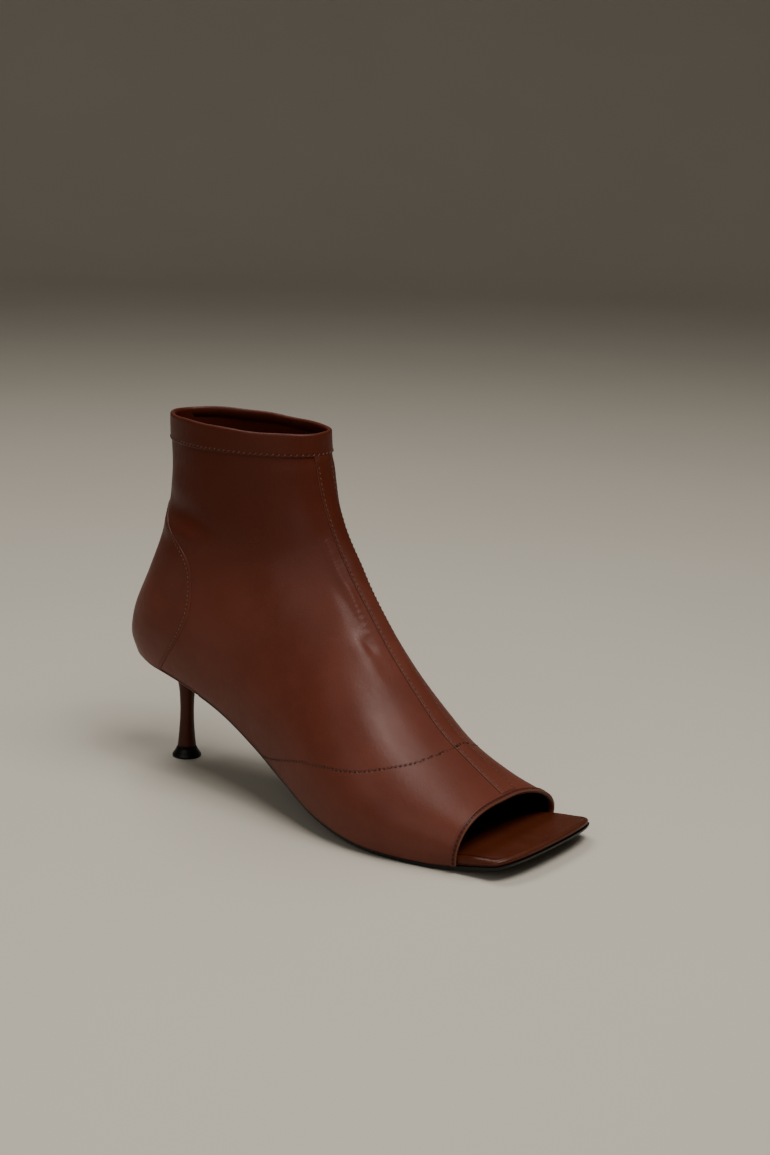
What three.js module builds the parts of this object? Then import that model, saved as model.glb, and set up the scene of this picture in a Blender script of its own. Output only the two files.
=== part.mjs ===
import * as THREE from "three";

// Open-toe ankle boot for the right foot, with a square toe and a slim flared heel.
// Lengths are in millimetres. X runs from heel to toe, Y to the inner side, Z up from the floor.

// Main sizes
const SHOE_LENGTH = 251;
const BALL_WIDTH = 82;
const TOE_REACH = 26;
const INSTEP_HEIGHT = 129;
const SHAFT_HEIGHT = 176;
const SEAT_RISE = 56;
const TOE_SPRING = 6.5;

// Corners of the plan outline
const TOE_CORNER = 10;
const TOE_POWER = 2.5;
const HEEL_ROUND = 24;
const HEEL_POWER = 2.1;

// Thicknesses and clearances
const WALL = 1.6;
const FIT = 0.3;
const SOLE_THICKNESS = 2;
const WAIST_THICKNESS = 1.8;
const TOE_THICKNESS = 1.3;
const SOLE_INSET = 0.5;
const SOLE_BEVEL = 1.2;
const INSOLE_THICKNESS = 5;
const INSOLE_ROUND = 1.8;
const INSOLE_CHAMFER = 0.6;
const INSOLE_FIT = 0.6;
const TOE_THINNING = 0.58;

// Overlays on the upper
const TRIM = 0.6;
const BAND_HEIGHT = 13.5;
const BINDING_WIDTH = 3;
const STRIP_WIDTH = 11;
const COUNTER_MIDDLE = 97;
const COUNTER_UP = 36;
const COUNTER_DOWN = 70;
const COUNTER_TURN = 136;
const ANKLE_SHARE = 0.13;
const COUNTER_CROWN = 2.7;
const COUNTER_BASE = 2;

// Heel
const SEAT_LENGTH = 60;
const SEAT_THICKNESS = 2.6;
const SEAT_ROUND = 4.5;
const STEM_FROM_BACK = 30.5;
const STEM_WAIST = 3.45;
const FLARE_HEIGHT = 24;
const TIP_HEIGHT = 5.5;
const TIP_FOOT = 7.25;
const TIP_NECK = 4.65;

// Upper
const UPPER_LENGTH = SHOE_LENGTH - TOE_REACH;
const TOP = FIT + SOLE_THICKNESS;

// Each row is a slice that fans from the toe opening, round the instep, to the collar.
// back and front: its lower and upper end, as shares of UPPER_LENGTH.
// rise: lower end above the seat line, as a share of the height left to the collar.
// top: upper end, 0 to 1 from floor to instep and 1 to 2 from instep to collar.
// lean: shift of the ridge to the inner side, as a share of BALL_WIDTH.
const FORM = [
  { back: 1.0, rise: 0, front: 1.01, top: 0.204, lean: 0 },
  { back: 0.92, rise: 0, front: 0.929, top: 0.28, lean: 0.005 },
  { back: 0.84, rise: 0, front: 0.856, top: 0.36, lean: 0.01 },
  { back: 0.756, rise: 0, front: 0.787, top: 0.465, lean: 0.02 },
  { back: 0.667, rise: 0, front: 0.729, top: 0.57, lean: 0.025 },
  { back: 0.564, rise: 0, front: 0.676, top: 0.682, lean: 0.03 },
  { back: 0.449, rise: 0, front: 0.636, top: 0.771, lean: 0.035 },
  { back: 0.324, rise: 0, front: 0.609, top: 0.837, lean: 0.035 },
  { back: 0.2, rise: 0, front: 0.589, top: 0.891, lean: 0.035 },
  { back: 0.093, rise: 0, front: 0.57, top: 0.942, lean: 0.035 },
  { back: 0.024, rise: 0, front: 0.551, top: 1.0, lean: 0.035 },
  { back: 0.018, rise: 0.133, front: 0.535, top: 1.165, lean: 0.035 },
  { back: 0.053, rise: 0.324, front: 0.521, top: 1.32, lean: 0.035 },
  { back: 0.088, rise: 0.539, front: 0.51, top: 1.485, lean: 0.035 },
  { back: 0.099, rise: 0.739, front: 0.503, top: 1.62, lean: 0.035 },
  { back: 0.097, rise: 0.888, front: 0.496, top: 1.745, lean: 0.035 },
  { back: 0.095, rise: 1, front: 0.493, top: 1.975, lean: 0.035 },
];

// The same slices across.
// outer and inner: greatest half width on each side, as shares of BALL_WIDTH.
// belly: where that width lies between the ends.
// crest and flank: fullness above it on the outer and inner side, 1 an ellipse, more is peaked.
const GIRTH = [
  { outer: 0.5, inner: 0.465, belly: 0.2, crest: 0.61, flank: 1.2 },
  { outer: 0.549, inner: 0.44, belly: 0.2, crest: 0.8, flank: 1.36 },
  { outer: 0.595, inner: 0.432, belly: 0.2, crest: 0.97, flank: 1.46 },
  { outer: 0.604, inner: 0.439, belly: 0.2, crest: 1.06, flank: 1.42 },
  { outer: 0.579, inner: 0.421, belly: 0.2, crest: 1.1, flank: 1.38 },
  { outer: 0.518, inner: 0.378, belly: 0.22, crest: 1.12, flank: 1.28 },
  { outer: 0.439, inner: 0.341, belly: 0.25, crest: 1.1, flank: 1.18 },
  { outer: 0.39, inner: 0.341, belly: 0.27, crest: 1.05, flank: 1.08 },
  { outer: 0.376, inner: 0.351, belly: 0.28, crest: 1.0, flank: 1.0 },
  { outer: 0.372, inner: 0.354, belly: 0.27, crest: 0.96, flank: 0.96 },
  { outer: 0.366, inner: 0.357, belly: 0.27, crest: 0.93, flank: 0.93 },
  { outer: 0.346, inner: 0.355, belly: 0.3, crest: 0.9, flank: 0.9 },
  { outer: 0.322, inner: 0.35, belly: 0.36, crest: 0.9, flank: 0.9 },
  { outer: 0.298, inner: 0.344, belly: 0.42, crest: 0.9, flank: 0.9 },
  { outer: 0.283, inner: 0.342, belly: 0.46, crest: 0.9, flank: 0.9 },
  { outer: 0.274, inner: 0.338, belly: 0.48, crest: 0.9, flank: 0.9 },
  { outer: 0.27, inner: 0.335, belly: 0.49, crest: 0.9, flank: 0.9 },
];
const LAST = FORM.length - 1;

// Height of the upper end of each slice
const CREST = FORM.map(({ top }) => {
  const above = Math.max(0, top - 1) * (SHAFT_HEIGHT - INSTEP_HEIGHT);
  return { height: Math.min(top, 1) * INSTEP_HEIGHT + above };
});

// TURN is the first slice that closes behind the heel. ANKLE is the first of the straight shaft.
const TURN = FORM.findIndex(({ rise }) => rise > 0) - 1;
const ANKLE = TURN + 3;
const FEATHER_BACK = FORM[TURN].back * UPPER_LENGTH;

// Seat line and plan outline, in even steps of SHOE_LENGTH from the heel.
// rise: share of SEAT_RISE. outer and inner: half widths as shares of BALL_WIDTH.
const LINE_STEP = 0.1;
const LINE = [
  { rise: 1.0, outer: 0.262, inner: 0.262 },
  { rise: 0.905, outer: 0.28, inner: 0.275 },
  { rise: 0.811, outer: 0.307, inner: 0.284 },
  { rise: 0.66, outer: 0.322, inner: 0.258 },
  { rise: 0.476, outer: 0.378, inner: 0.251 },
  { rise: 0.307, outer: 0.476, inner: 0.299 },
  { rise: 0.129, outer: 0.556, inner: 0.371 },
  { rise: 0.032, outer: 0.588, inner: 0.41 },
  { rise: 0.0, outer: 0.552, inner: 0.412 },
  { rise: 0.0, outer: 0.488, inner: 0.455 },
  { rise: 0.0, outer: 0.448, inner: 0.488 },
];
const SPRING_START = 0.842;
const SPRING_POWER = 1.4;

// Share of SHOE_LENGTH at which the outsole reaches its full thickness
const BALL_SHARE = 0.6;

// Colours and roughness
const LEATHER = 0x6b3024;
const COVERED = 0x64291d;
const STEM_LEATHER = 0x55221a;
const BLACK = 0x0d0c0b;
const EDGE = 0x7a4638;
const SATIN = 0.4;
const MATT = 0.6;

/** Smooth curve through four neighbours, between the middle two. */
function spline(before, from, to, after, t) {
  const a = 2 * from;
  const b = to - before;
  const c = 2 * before - 5 * from + 4 * to - after;
  const d = 3 * (from - to) + after - before;
  return 0.5 * (a + t * (b + t * (c + t * d)));
}

/** Value of one table column at a fractional row. */
function column(rows, key, at) {
  const end = rows.length - 1;
  const i = Math.max(0, Math.min(Math.floor(at), end - 1));
  const from = rows[i][key];
  const to = rows[i + 1][key];
  const before = i > 0 ? rows[i - 1][key] : 2 * from - to;
  const after = i + 2 <= end ? rows[i + 2][key] : 2 * to - from;
  return spline(before, from, to, after, at - i);
}

/** 0 below the span, 1 above it, with an even start and end. */
function ease(value, from, to) {
  const t = Math.max(0, Math.min(1, (value - from) / (to - from)));
  return t * t * (3 - 2 * t);
}

/** Height of the seat line, where the upper meets the sole. */
function seat(x) {
  const share = x / SHOE_LENGTH;
  const rise = Math.max(0, column(LINE, "rise", share / LINE_STEP));
  const ahead = Math.max(0, (share - SPRING_START) / (1 - SPRING_START));
  return TOP + SEAT_RISE * rise + TOE_SPRING * ahead ** SPRING_POWER;
}

/** Half width of the plan outline on one side, drawn in by an inset. */
function halfWidth(x, side, inset) {
  const key = side < 0 ? "outer" : "inner";
  const width = BALL_WIDTH * column(LINE, key, x / SHOE_LENGTH / LINE_STEP) - inset;
  const toe = Math.max(0, x - (SHOE_LENGTH - TOE_CORNER)) / (TOE_CORNER - inset);
  const heel = Math.max(0, FEATHER_BACK + HEEL_ROUND - x) / (HEEL_ROUND - inset);
  const front = (1 - Math.min(1, toe) ** TOE_POWER) ** (1 / TOE_POWER);
  const back = (1 - Math.min(1, heel) ** HEEL_POWER) ** (1 / HEEL_POWER);
  return width * front * back;
}

/** Ends, widths and form of one slice of the upper. */
function slice(s) {
  const x = column(FORM, "back", s) * UPPER_LENGTH;
  const base = seat(x);
  const closed = s >= TURN;
  const climb = closed ? Math.max(0, column(FORM, "rise", s)) : 0;
  const front = column(FORM, "front", s) * UPPER_LENGTH;
  const lower = new THREE.Vector3(x, 0, base + climb * (SHAFT_HEIGHT - base));
  const upper = new THREE.Vector3(front, 0, column(CREST, "height", s));
  const lean = column(FORM, "lean", s) * BALL_WIDTH;
  return {
    lower,
    upper,
    lean,
    backLean: lean * ease(s, TURN, LAST - 2),
    belly: column(GIRTH, "belly", s),
    fullness: (side) => column(GIRTH, side < 0 ? "crest" : "flank", s),
    edge: (side) => (closed ? 0 : halfWidth(x, side, 0)),
    width: (side) => BALL_WIDTH * column(GIRTH, side < 0 ? "outer" : "inner", s),
  };
}

/** Point of a slice at turn q: 0 the lower end, 1 the widest place, 2 the ridge. */
function slicePoint(form, side, q) {
  const width = form.width(side);
  const start = Math.asin(Math.min(0.995, form.edge(side) / width));
  let across;
  let along;
  let shift;
  if (q < 1) {
    const angle = start + (Math.PI / 2 - start) * q;
    across = width * Math.sin(angle);
    along = form.belly * (1 - Math.cos(angle) / Math.cos(start));
    shift = form.backLean * (1 - along / form.belly) ** 2;
  } else {
    const angle = (Math.PI / 2) * (q - 1);
    across = width * Math.max(0, Math.cos(angle)) ** form.fullness(side);
    along = form.belly + (1 - form.belly) * Math.sin(angle);
    shift = form.lean * ((along - form.belly) / (1 - form.belly)) ** 2;
  }
  const point = form.lower.clone().lerp(form.upper, along);
  point.y = side * across + shift;
  return point;
}

const ARC_STEPS = 48;
const slices = new Map();

/** A slice with the girth run along each of its sides. */
function measured(s) {
  if (!slices.has(s)) {
    const form = slice(s);
    const runs = {};
    for (const side of [-1, 1]) {
      const run = [0];
      let before = slicePoint(form, side, 0);
      for (let k = 1; k <= ARC_STEPS; k++) {
        const point = slicePoint(form, side, (2 * k) / ARC_STEPS);
        run.push(run[k - 1] + point.distanceTo(before));
        before = point;
      }
      runs[side] = run;
    }
    slices.set(s, { form, runs });
  }
  return slices.get(s);
}

/** Girth from the ridge to the lower end on one side. */
function girth(s, side) {
  return measured(s).runs[side][ARC_STEPS];
}

/** Outer face of the upper. t runs from -1, outer lower end, over the ridge at 0, to 1. */
function skin(s, t) {
  const side = t < 0 ? -1 : 1;
  const { form, runs } = measured(s);
  const run = runs[side];
  const reach = (1 - Math.abs(t)) * run[ARC_STEPS];
  let low = 0;
  let high = ARC_STEPS;
  while (high - low > 1) {
    const middle = (low + high) >> 1;
    if (run[middle] <= reach) {
      low = middle;
    } else {
      high = middle;
    }
  }
  const part = (reach - run[low]) / (run[high] - run[low]);
  return slicePoint(form, side, (2 * (low + part)) / ARC_STEPS);
}

const NUDGE = 0.002;

/** Outward direction of the upper's outer face. */
function outward(s, t) {
  const floor = s >= TURN ? TURN : 0;
  const ceiling = s >= TURN ? LAST : TURN - NUDGE;
  const up = skin(Math.min(s + NUDGE, Math.max(ceiling, s)), t);
  const along = up.sub(skin(Math.max(s - NUDGE, floor), t));
  let across;
  if (Math.abs(t) > 1 - NUDGE && s >= TURN) {
    across = skin(s, -1 + NUDGE).sub(skin(s, 1 - NUDGE));
  } else {
    across = skin(s, Math.min(1, t + NUDGE)).sub(skin(s, Math.max(-1, t - NUDGE)));
  }
  return across.cross(along).normalize();
}

/** Point at a height off the upper's outer face, inside where the lift is negative. */
function lifted(s, t, lift) {
  return skin(s, t).addScaledVector(outward(s, t), lift);
}

/** Even steps between two values, both included. */
function steps(from, to, count) {
  return Array.from({ length: count + 1 }, (_, k) => from + ((to - from) * k) / count);
}

/** One closed body from its corners and triangles, with its faces turned outward. */
function solid(name, points, faces, color, roughness) {
  let volume = 0;
  for (const [a, b, c] of faces) {
    volume += points[a].dot(points[b].clone().cross(points[c]));
  }
  const turned = volume < 0 ? faces.map(([a, b, c]) => [a, c, b]) : faces;
  const geometry = new THREE.BufferGeometry();
  geometry.setAttribute(
    "position",
    new THREE.Float32BufferAttribute(points.flatMap((p) => [p.x, p.y, p.z]), 3),
  );
  geometry.setIndex(turned.flat());
  geometry.computeVertexNormals();
  const material = new THREE.MeshStandardMaterial({ color, roughness, metalness: 0 });
  const mesh = new THREE.Mesh(geometry, material);
  mesh.name = name;
  return mesh;
}

/** Two triangles over four corners, leaving out what a shared corner closes. */
function quad(a, b, c, d) {
  return [
    [a, b, c],
    [a, c, d],
  ].filter(([p, q, r]) => p !== q && q !== r && p !== r);
}

/** Point at a height over a spot, or over a cut on the line between two spots. */
function over({ s, t, ends, share }, lift) {
  if (ends) {
    return over(ends[0], lift).lerp(over(ends[1], lift), share);
  }
  return lifted(s, t, lift);
}

/** A wall: one sheet of faces at two lifts, closed along every open edge. */
function wall(name, { spots, faces }, inside, outside, color, roughness) {
  const count = spots.length;
  const outer = spots.map((spot) => over(spot, outside));
  const inner = spots.map((spot) => over(spot, inside));
  const edges = new Set();
  for (const [a, b, c] of faces) {
    edges.add(`${a} ${b}`).add(`${b} ${c}`).add(`${c} ${a}`);
  }
  const closed = [...faces, ...faces.map(([a, b, c]) => [a + count, c + count, b + count])];
  for (const edge of edges) {
    const [a, b] = edge.split(" ").map(Number);
    if (!edges.has(`${b} ${a}`)) {
      closed.push(...quad(b, a, a + count, b + count));
    }
  }
  return solid(name, [...outer, ...inner], closed, color, roughness);
}

/** Sheet of faces over rows of s and columns of t, joined behind the heel where it closes. */
function grid(rows, columns) {
  const spots = [];
  const ids = rows.map((s) => {
    const line = columns.map((t) => spots.push({ s, t }) - 1);
    if (s >= TURN && columns[0] === -1 && columns.at(-1) === 1) {
      line[line.length - 1] = line[0];
      spots.pop();
    }
    return line;
  });
  const faces = [];
  for (let i = 0; i + 1 < rows.length; i++) {
    for (let j = 0; j + 1 < columns.length; j++) {
      faces.push(...quad(ids[i][j], ids[i][j + 1], ids[i + 1][j + 1], ids[i + 1][j]));
    }
  }
  return { spots, faces };
}

/** Part of a sheet where a measure isn't above zero, cut straight across its triangles. */
function trimmed({ spots, faces }, measure) {
  const values = spots.map(measure);
  const all = [...spots];
  const cuts = new Map();
  const cut = (a, b) => {
    const [low, high] = values[a] < values[b] ? [a, b] : [b, a];
    const key = `${low} ${high}`;
    if (!cuts.has(key)) {
      const share = values[low] / (values[low] - values[high]);
      cuts.set(key, all.push({ ends: [spots[low], spots[high]], share }) - 1);
    }
    return cuts.get(key);
  };
  const kept = [];
  for (const face of faces) {
    const loop = face.flatMap((a, k) => {
      const b = face[(k + 1) % 3];
      const inside = values[a] <= 0;
      const crossed = inside !== values[b] <= 0;
      return [...(inside ? [a] : []), ...(crossed ? [cut(a, b)] : [])];
    });
    for (let k = 1; k + 1 < loop.length; k++) {
      kept.push([loop[0], loop[k], loop[k + 1]]);
    }
  }
  const used = [...new Set(kept.flat())];
  const places = new Map(used.map((id, place) => [id, place]));
  return {
    spots: used.map((id) => all[id]),
    faces: kept.map((face) => face.map((id) => places.get(id))),
  };
}

/** Plate from loops of points that start at the front and mirror left to right. */
function plate(name, loops, color, roughness) {
  const count = loops[0].length;
  const faces = [];
  for (let k = 0; k + 1 < loops.length; k++) {
    for (let j = 0; j < count; j++) {
      const next = (j + 1) % count;
      const low = k * count;
      const high = low + count;
      faces.push(...quad(low + j, low + next, high + next, high + j));
    }
  }
  const lid = (loops.length - 1) * count;
  for (let j = 0; 2 * j + 1 < count; j++) {
    const mirror = (count - j) % count;
    faces.push(...quad(lid + j, lid + j + 1, lid + count - j - 1, lid + mirror));
    faces.push(...quad(mirror, count - j - 1, j + 1, j));
  }
  return solid(name, loops.flat(), faces, color, roughness);
}

// Grid of the upper
const SIDE_COLUMNS = [...steps(0, 0.9, 16), ...steps(0.9, 1, 4).slice(1)];
const COLUMNS = [...SIDE_COLUMNS.slice(1).reverse().map((t) => -t), ...SIDE_COLUMNS];
const HEEL_STEPS = 4;
const ROWS = [
  ...steps(0, TURN - 1, 2 * (TURN - 1)),
  ...steps(1, 0, HEEL_STEPS).slice(1).map((near) => TURN - near ** 2),
  ...steps(TURN, ANKLE, 3 * (ANKLE - TURN)).slice(1),
  ...steps(ANKLE, LAST, 2 * (LAST - ANKLE)).slice(1),
];

/** Value between two others from which a test holds. */
function crossing(from, to, holds) {
  let low = from;
  let high = to;
  for (let k = 0; k < 30; k++) {
    const middle = (low + high) / 2;
    if (holds(middle)) {
      high = middle;
    } else {
      low = middle;
    }
  }
  return high;
}

/** Slice whose back end lies at a height. */
function sliceAtHeight(height) {
  return crossing(TURN, LAST, (s) => slice(s).lower.z >= height);
}

/** Slice whose ridge lies a run behind the toe opening. */
function sliceAtRun(run) {
  const step = 0.01;
  let s = 0;
  let length = 0;
  while (length < run) {
    length += skin(s + step, 0).distanceTo(skin(s, 0));
    s += step;
  }
  return s;
}

const BAND_START = sliceAtHeight(SHAFT_HEIGHT - BAND_HEIGHT);
const BINDING_END = sliceAtRun(BINDING_WIDTH);
const STRIP_START = sliceAtRun(BINDING_WIDTH + FIT);
const STRIP_END = sliceAtHeight(SHAFT_HEIGHT - BAND_HEIGHT - FIT);

/** Hollow shell of vamp, quarters and shaft. */
function upper() {
  return wall("upper", grid(ROWS, COLUMNS), -WALL, 0, LEATHER, SATIN);
}

/** Folded band round the collar. */
function collarBand() {
  const rows = [BAND_START, ...ROWS.filter((s) => s > BAND_START + 0.05)];
  return wall("collar_band", grid(rows, COLUMNS), FIT, FIT + TRIM, LEATHER, SATIN);
}

/** Turned edge round the toe opening. */
function toeBinding() {
  const sheet = grid([0, BINDING_END], COLUMNS);
  return wall("toe_binding", sheet, FIT, FIT + TRIM, EDGE, MATT);
}

/** Narrow strip down the front, from the collar band to the toe binding. */
function frontStrip() {
  const rows = [
    STRIP_START,
    ...ROWS.filter((s) => s > STRIP_START + 0.05 && s < STRIP_END - 0.05),
    STRIP_END,
  ];
  const shares = steps(-1, 1, 2);
  const spots = [];
  for (const s of rows) {
    for (const share of shares) {
      const side = share < 0 ? -1 : 1;
      spots.push({ s, t: (share * STRIP_WIDTH) / 2 / girth(s, side) });
    }
  }
  const { faces } = grid(rows, shares.map((share) => share / 2));
  return wall("front_strip", { spots, faces }, FIT, FIT + TRIM, LEATHER, SATIN);
}

/** Direction of a point from the ankle's axis: 0 straight back, pi straight ahead. */
function heading(point) {
  return Math.abs(Math.atan2(point.y, ANKLE_SHARE * UPPER_LENGTH - point.x));
}

/** Patch round the back of the heel, narrow at its top and cut off by the feather edge below. */
function heelCounter() {
  const turn = THREE.MathUtils.degToRad(COUNTER_TURN);
  const beyond = ({ s, t }) => {
    const point = skin(s, t);
    const down = point.z < COUNTER_MIDDLE;
    const power = down ? COUNTER_BASE : COUNTER_CROWN;
    const tall = Math.abs(point.z - COUNTER_MIDDLE) / (down ? COUNTER_DOWN : COUNTER_UP);
    const round = heading(point) / turn;
    return (tall ** power + round ** power) ** (1 / power) - 1;
  };
  const sheet = trimmed(grid(ROWS, COLUMNS), beyond);
  return wall("heel_counter", sheet, FIT, FIT + TRIM, LEATHER, SATIN);
}

/** Point of the plan outline, at a height above the seat line. */
function outlinePoint(x, side, inset, height) {
  return new THREE.Vector3(x, side * halfWidth(x, side, inset), seat(x) + height(x));
}

const TOE_STEPS = 8;
const SIDE_STEPS = 30;

/** Stations from the front centre, round the toe corner and back to an end. */
function stations(end, inset) {
  const corner = SHOE_LENGTH - TOE_CORNER;
  const round = steps(0, Math.PI / 2, TOE_STEPS).map(
    (angle) => corner + (TOE_CORNER - inset) * Math.cos(angle) ** (2 / TOE_POWER),
  );
  return [...round, ...steps(corner, end, SIDE_STEPS).slice(1)];
}

/** Loop of the plan outline ahead of an end that is cut straight across. */
function soleLoop(end, inset, height) {
  const along = stations(end, inset);
  const side = (turn) => along.slice(1).map((x) => outlinePoint(x, turn, inset, height));
  return [outlinePoint(along[0], -1, inset, height), ...side(-1), ...side(1).reverse()];
}

/** Thickness of the outsole, thinner under the waist. */
function soleThickness(x) {
  const ball = BALL_SHARE * SHOE_LENGTH;
  const waist = (SOLE_THICKNESS - WAIST_THICKNESS) * (1 - ease(x, SEAT_LENGTH, ball));
  const toe = (SOLE_THICKNESS - TOE_THICKNESS) * ease(x, UPPER_LENGTH, SHOE_LENGTH);
  return SOLE_THICKNESS - waist - toe;
}

/** Thin sole from the heel's breast to the toe. */
function outsole() {
  const end = SEAT_LENGTH + FIT;
  const top = () => -FIT;
  const under = (share) => (x) => -FIT - share * soleThickness(x);
  return plate(
    "outsole",
    [
      soleLoop(end, SOLE_INSET + SOLE_BEVEL, under(1)),
      soleLoop(end, SOLE_INSET, under(0.5)),
      soleLoop(end, SOLE_INSET, top),
    ],
    BLACK,
    MATT,
  );
}

/** Place of the footbed's edge against the upper's inner face. */
function under(s, t) {
  return lifted(s, t, -WALL - INSOLE_FIT);
}

/** Girth place on one side of a slice where the footbed's edge is at a height. */
function insideAt(s, side, height) {
  const short = (v) => {
    const point = under(s, side * v);
    return point.z - seat(point.x) < height;
  };
  return short(1) ? crossing(0.5, 1, short) : 1;
}

/** Slice at whose back end the footbed's edge is at a height. */
function insideEnd(height) {
  return crossing(TURN, TURN + 1, (s) => {
    const point = under(s, 1);
    return point.z - seat(point.x) >= height;
  });
}

/** Loop of the footbed at a height: inside the upper, and out to the front of the toe. */
function footbedLoop(height, inset) {
  const lift = (x) => height * (1 - (1 - TOE_THINNING) * ease(x, UPPER_LENGTH, SHOE_LENGTH));
  const end = insideEnd(height);
  const rows = ROWS.filter((s) => s < TURN);
  const inside = (side) =>
    rows.map((s) => {
      const point = under(s, side * insideAt(s, side, height));
      point.y -= side * inset;
      point.z = seat(point.x) + lift(point.x);
      return point;
    });
  const back = under(end, 1);
  back.x += inset;
  back.z = seat(back.x) + lift(back.x);
  const toe = (side) => {
    const root = under(0, side * insideAt(0, side, height));
    const drawn = halfWidth(root.x, side, 0) - side * root.y + inset;
    const corner = SHOE_LENGTH - TOE_CORNER;
    const round = stations(corner, drawn).slice(0, TOE_STEPS + 1);
    const straight = steps(corner, root.x, 3).slice(1, -1);
    return [...round, ...straight].map((x) => outlinePoint(x, side, drawn, lift));
  };
  const outer = [...toe(-1), ...inside(-1)];
  const inner = [...toe(1), ...inside(1)];
  return [...outer, back, ...inner.slice(1).reverse()];
}

/** Covered footbed, which shows as the platform ahead of the toe opening. */
function insole() {
  const rounds = [0, 0.35, 0.7, 1].map((share) => (share * Math.PI) / 2);
  return plate(
    "insole",
    [
      footbedLoop(0, INSOLE_CHAMFER),
      footbedLoop(INSOLE_CHAMFER, 0),
      ...rounds.map((angle) =>
        footbedLoop(
          INSOLE_THICKNESS - INSOLE_ROUND * (1 - Math.sin(angle)),
          INSOLE_ROUND * (1 - Math.cos(angle)),
        ),
      ),
    ],
    COVERED,
    SATIN,
  );
}

// Corners of each loop of the heel, of which BREAST_STEPS lie on half of the breast.
// BACK_CLOSER above 1 draws them together toward the back.
const AROUND = 32;
const BREAST_STEPS = 5;
const BACK_CLOSER = 1.6;

/** Body from loops that each close round a shared axis, with a point in each end. */
function stack(name, loops, bottom, top, color, roughness) {
  const count = loops[0].length;
  const faces = [];
  for (let k = 0; k + 1 < loops.length; k++) {
    for (let j = 0; j < count; j++) {
      const next = (j + 1) % count;
      const low = k * count;
      faces.push(...quad(low + j, low + next, low + count + next, low + count + j));
    }
  }
  const lid = (loops.length - 1) * count;
  const low = loops.length * count;
  for (let j = 0; j < count; j++) {
    const next = (j + 1) % count;
    faces.push([next, j, low]);
    faces.push([lid + j, lid + next, low + 1]);
  }
  return solid(name, [...loops.flat(), bottom, top], faces, color, roughness);
}

/** Circle round the stem's axis. */
function circle(radius, height) {
  return steps(0, 2 * Math.PI, AROUND)
    .slice(0, -1)
    .map((angle) => {
      const x = STEM_FROM_BACK + radius * Math.cos(angle);
      return new THREE.Vector3(x, -radius * Math.sin(angle), height(x));
    });
}

/** Loop of the heel seat, straight at the breast and round at the back. */
function seatLoop(inset, height) {
  const drawn = SOLE_INSET + inset;
  const from = SEAT_LENGTH - inset;
  const to = FEATHER_BACK + drawn;
  const breast = steps(0, 1, BREAST_STEPS).slice(0, -1).map((share) => ({ x: from, share }));
  const round = steps(1, 0, AROUND / 2 - BREAST_STEPS).map((left) => left ** BACK_CLOSER);
  const flank = round.map((left) => ({ x: to + (from - to) * left, share: 1 }));
  const half = (side) =>
    [...breast, ...flank].map(({ x, share }) => {
      return new THREE.Vector3(x, side * share * halfWidth(x, side, drawn), height(x));
    });
  return [...half(-1), ...half(1).slice(1, -1).reverse()];
}

// Flare of the stem below the heel seat
// radius: multiple of STEM_WAIST. drop: below the seat's underside, as a share of FLARE_HEIGHT.
const FLARE = [
  { radius: 1.0, drop: 1 },
  { radius: 1.08, drop: 0.71 },
  { radius: 1.28, drop: 0.48 },
  { radius: 1.68, drop: 0.29 },
  { radius: 2.1, drop: 0.16 },
  { radius: 3.0, drop: 0.067 },
  { radius: 4.2, drop: 0.017 },
];

// Rounded edge of the heel seat
// inset: from the sole line, as a share of SEAT_ROUND. drop: share of SEAT_THICKNESS.
const SEAT_EDGE = [
  { inset: 1, drop: 1 },
  { inset: 0.45, drop: 0.85 },
  { inset: 0.11, drop: 0.5 },
  { inset: 0, drop: 0 },
  { inset: 2, drop: 0 },
];

// Flared top piece
// spread: from TIP_NECK to TIP_FOOT. height: share of TIP_HEIGHT.
const TIP_PROFILE = [
  { spread: 0.97, height: 0 },
  { spread: 1.0, height: 0.06 },
  { spread: 0.97, height: 0.2 },
  { spread: 0.62, height: 0.42 },
  { spread: 0.3, height: 0.68 },
  { spread: 0.0, height: 1 },
];

/** Heel seat and stem in one piece. */
function heelStem() {
  const underside = (x) => seat(x) - FIT - SEAT_THICKNESS;
  const centre = underside(STEM_FROM_BACK);
  const foot = TIP_HEIGHT + FIT;
  const waist = centre - FLARE_HEIGHT;
  const loops = steps(0, 1, 5).slice(0, -1).map((share) => {
    const radius = STEM_WAIST + (TIP_NECK - STEM_WAIST) * (1 - share) ** 2;
    return circle(radius, () => foot + (waist - foot) * share);
  });
  for (const [k, { radius, drop }] of FLARE.entries()) {
    const tilt = k / (FLARE.length - 1);
    const height = (x) => centre - drop * FLARE_HEIGHT + tilt * (underside(x) - centre);
    loops.push(circle(radius * STEM_WAIST, height));
  }
  for (const { inset, drop } of SEAT_EDGE) {
    const height = (x) => seat(x) - FIT - drop * SEAT_THICKNESS;
    loops.push(seatLoop(inset * SEAT_ROUND, height));
  }
  const bottom = new THREE.Vector3(STEM_FROM_BACK, 0, foot);
  const top = new THREE.Vector3(STEM_FROM_BACK, 0, seat(STEM_FROM_BACK) - FIT);
  return stack("heel_stem", loops, bottom, top, STEM_LEATHER, SATIN);
}

/** Flared top piece under the stem. */
function heelTip() {
  const loops = TIP_PROFILE.map(({ spread, height }) =>
    circle(TIP_NECK + (TIP_FOOT - TIP_NECK) * spread, () => height * TIP_HEIGHT),
  );
  const bottom = new THREE.Vector3(STEM_FROM_BACK, 0, 0);
  const top = new THREE.Vector3(STEM_FROM_BACK, 0, TIP_HEIGHT);
  return stack("heel_tip", loops, bottom, top, BLACK, MATT);
}

const boot = new THREE.Group();
boot.name = "open_toe_ankle_boot";
boot.add(
  outsole(),
  insole(),
  upper(),
  collarBand(),
  frontStrip(),
  heelCounter(),
  toeBinding(),
  heelStem(),
  heelTip(),
);

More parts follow.
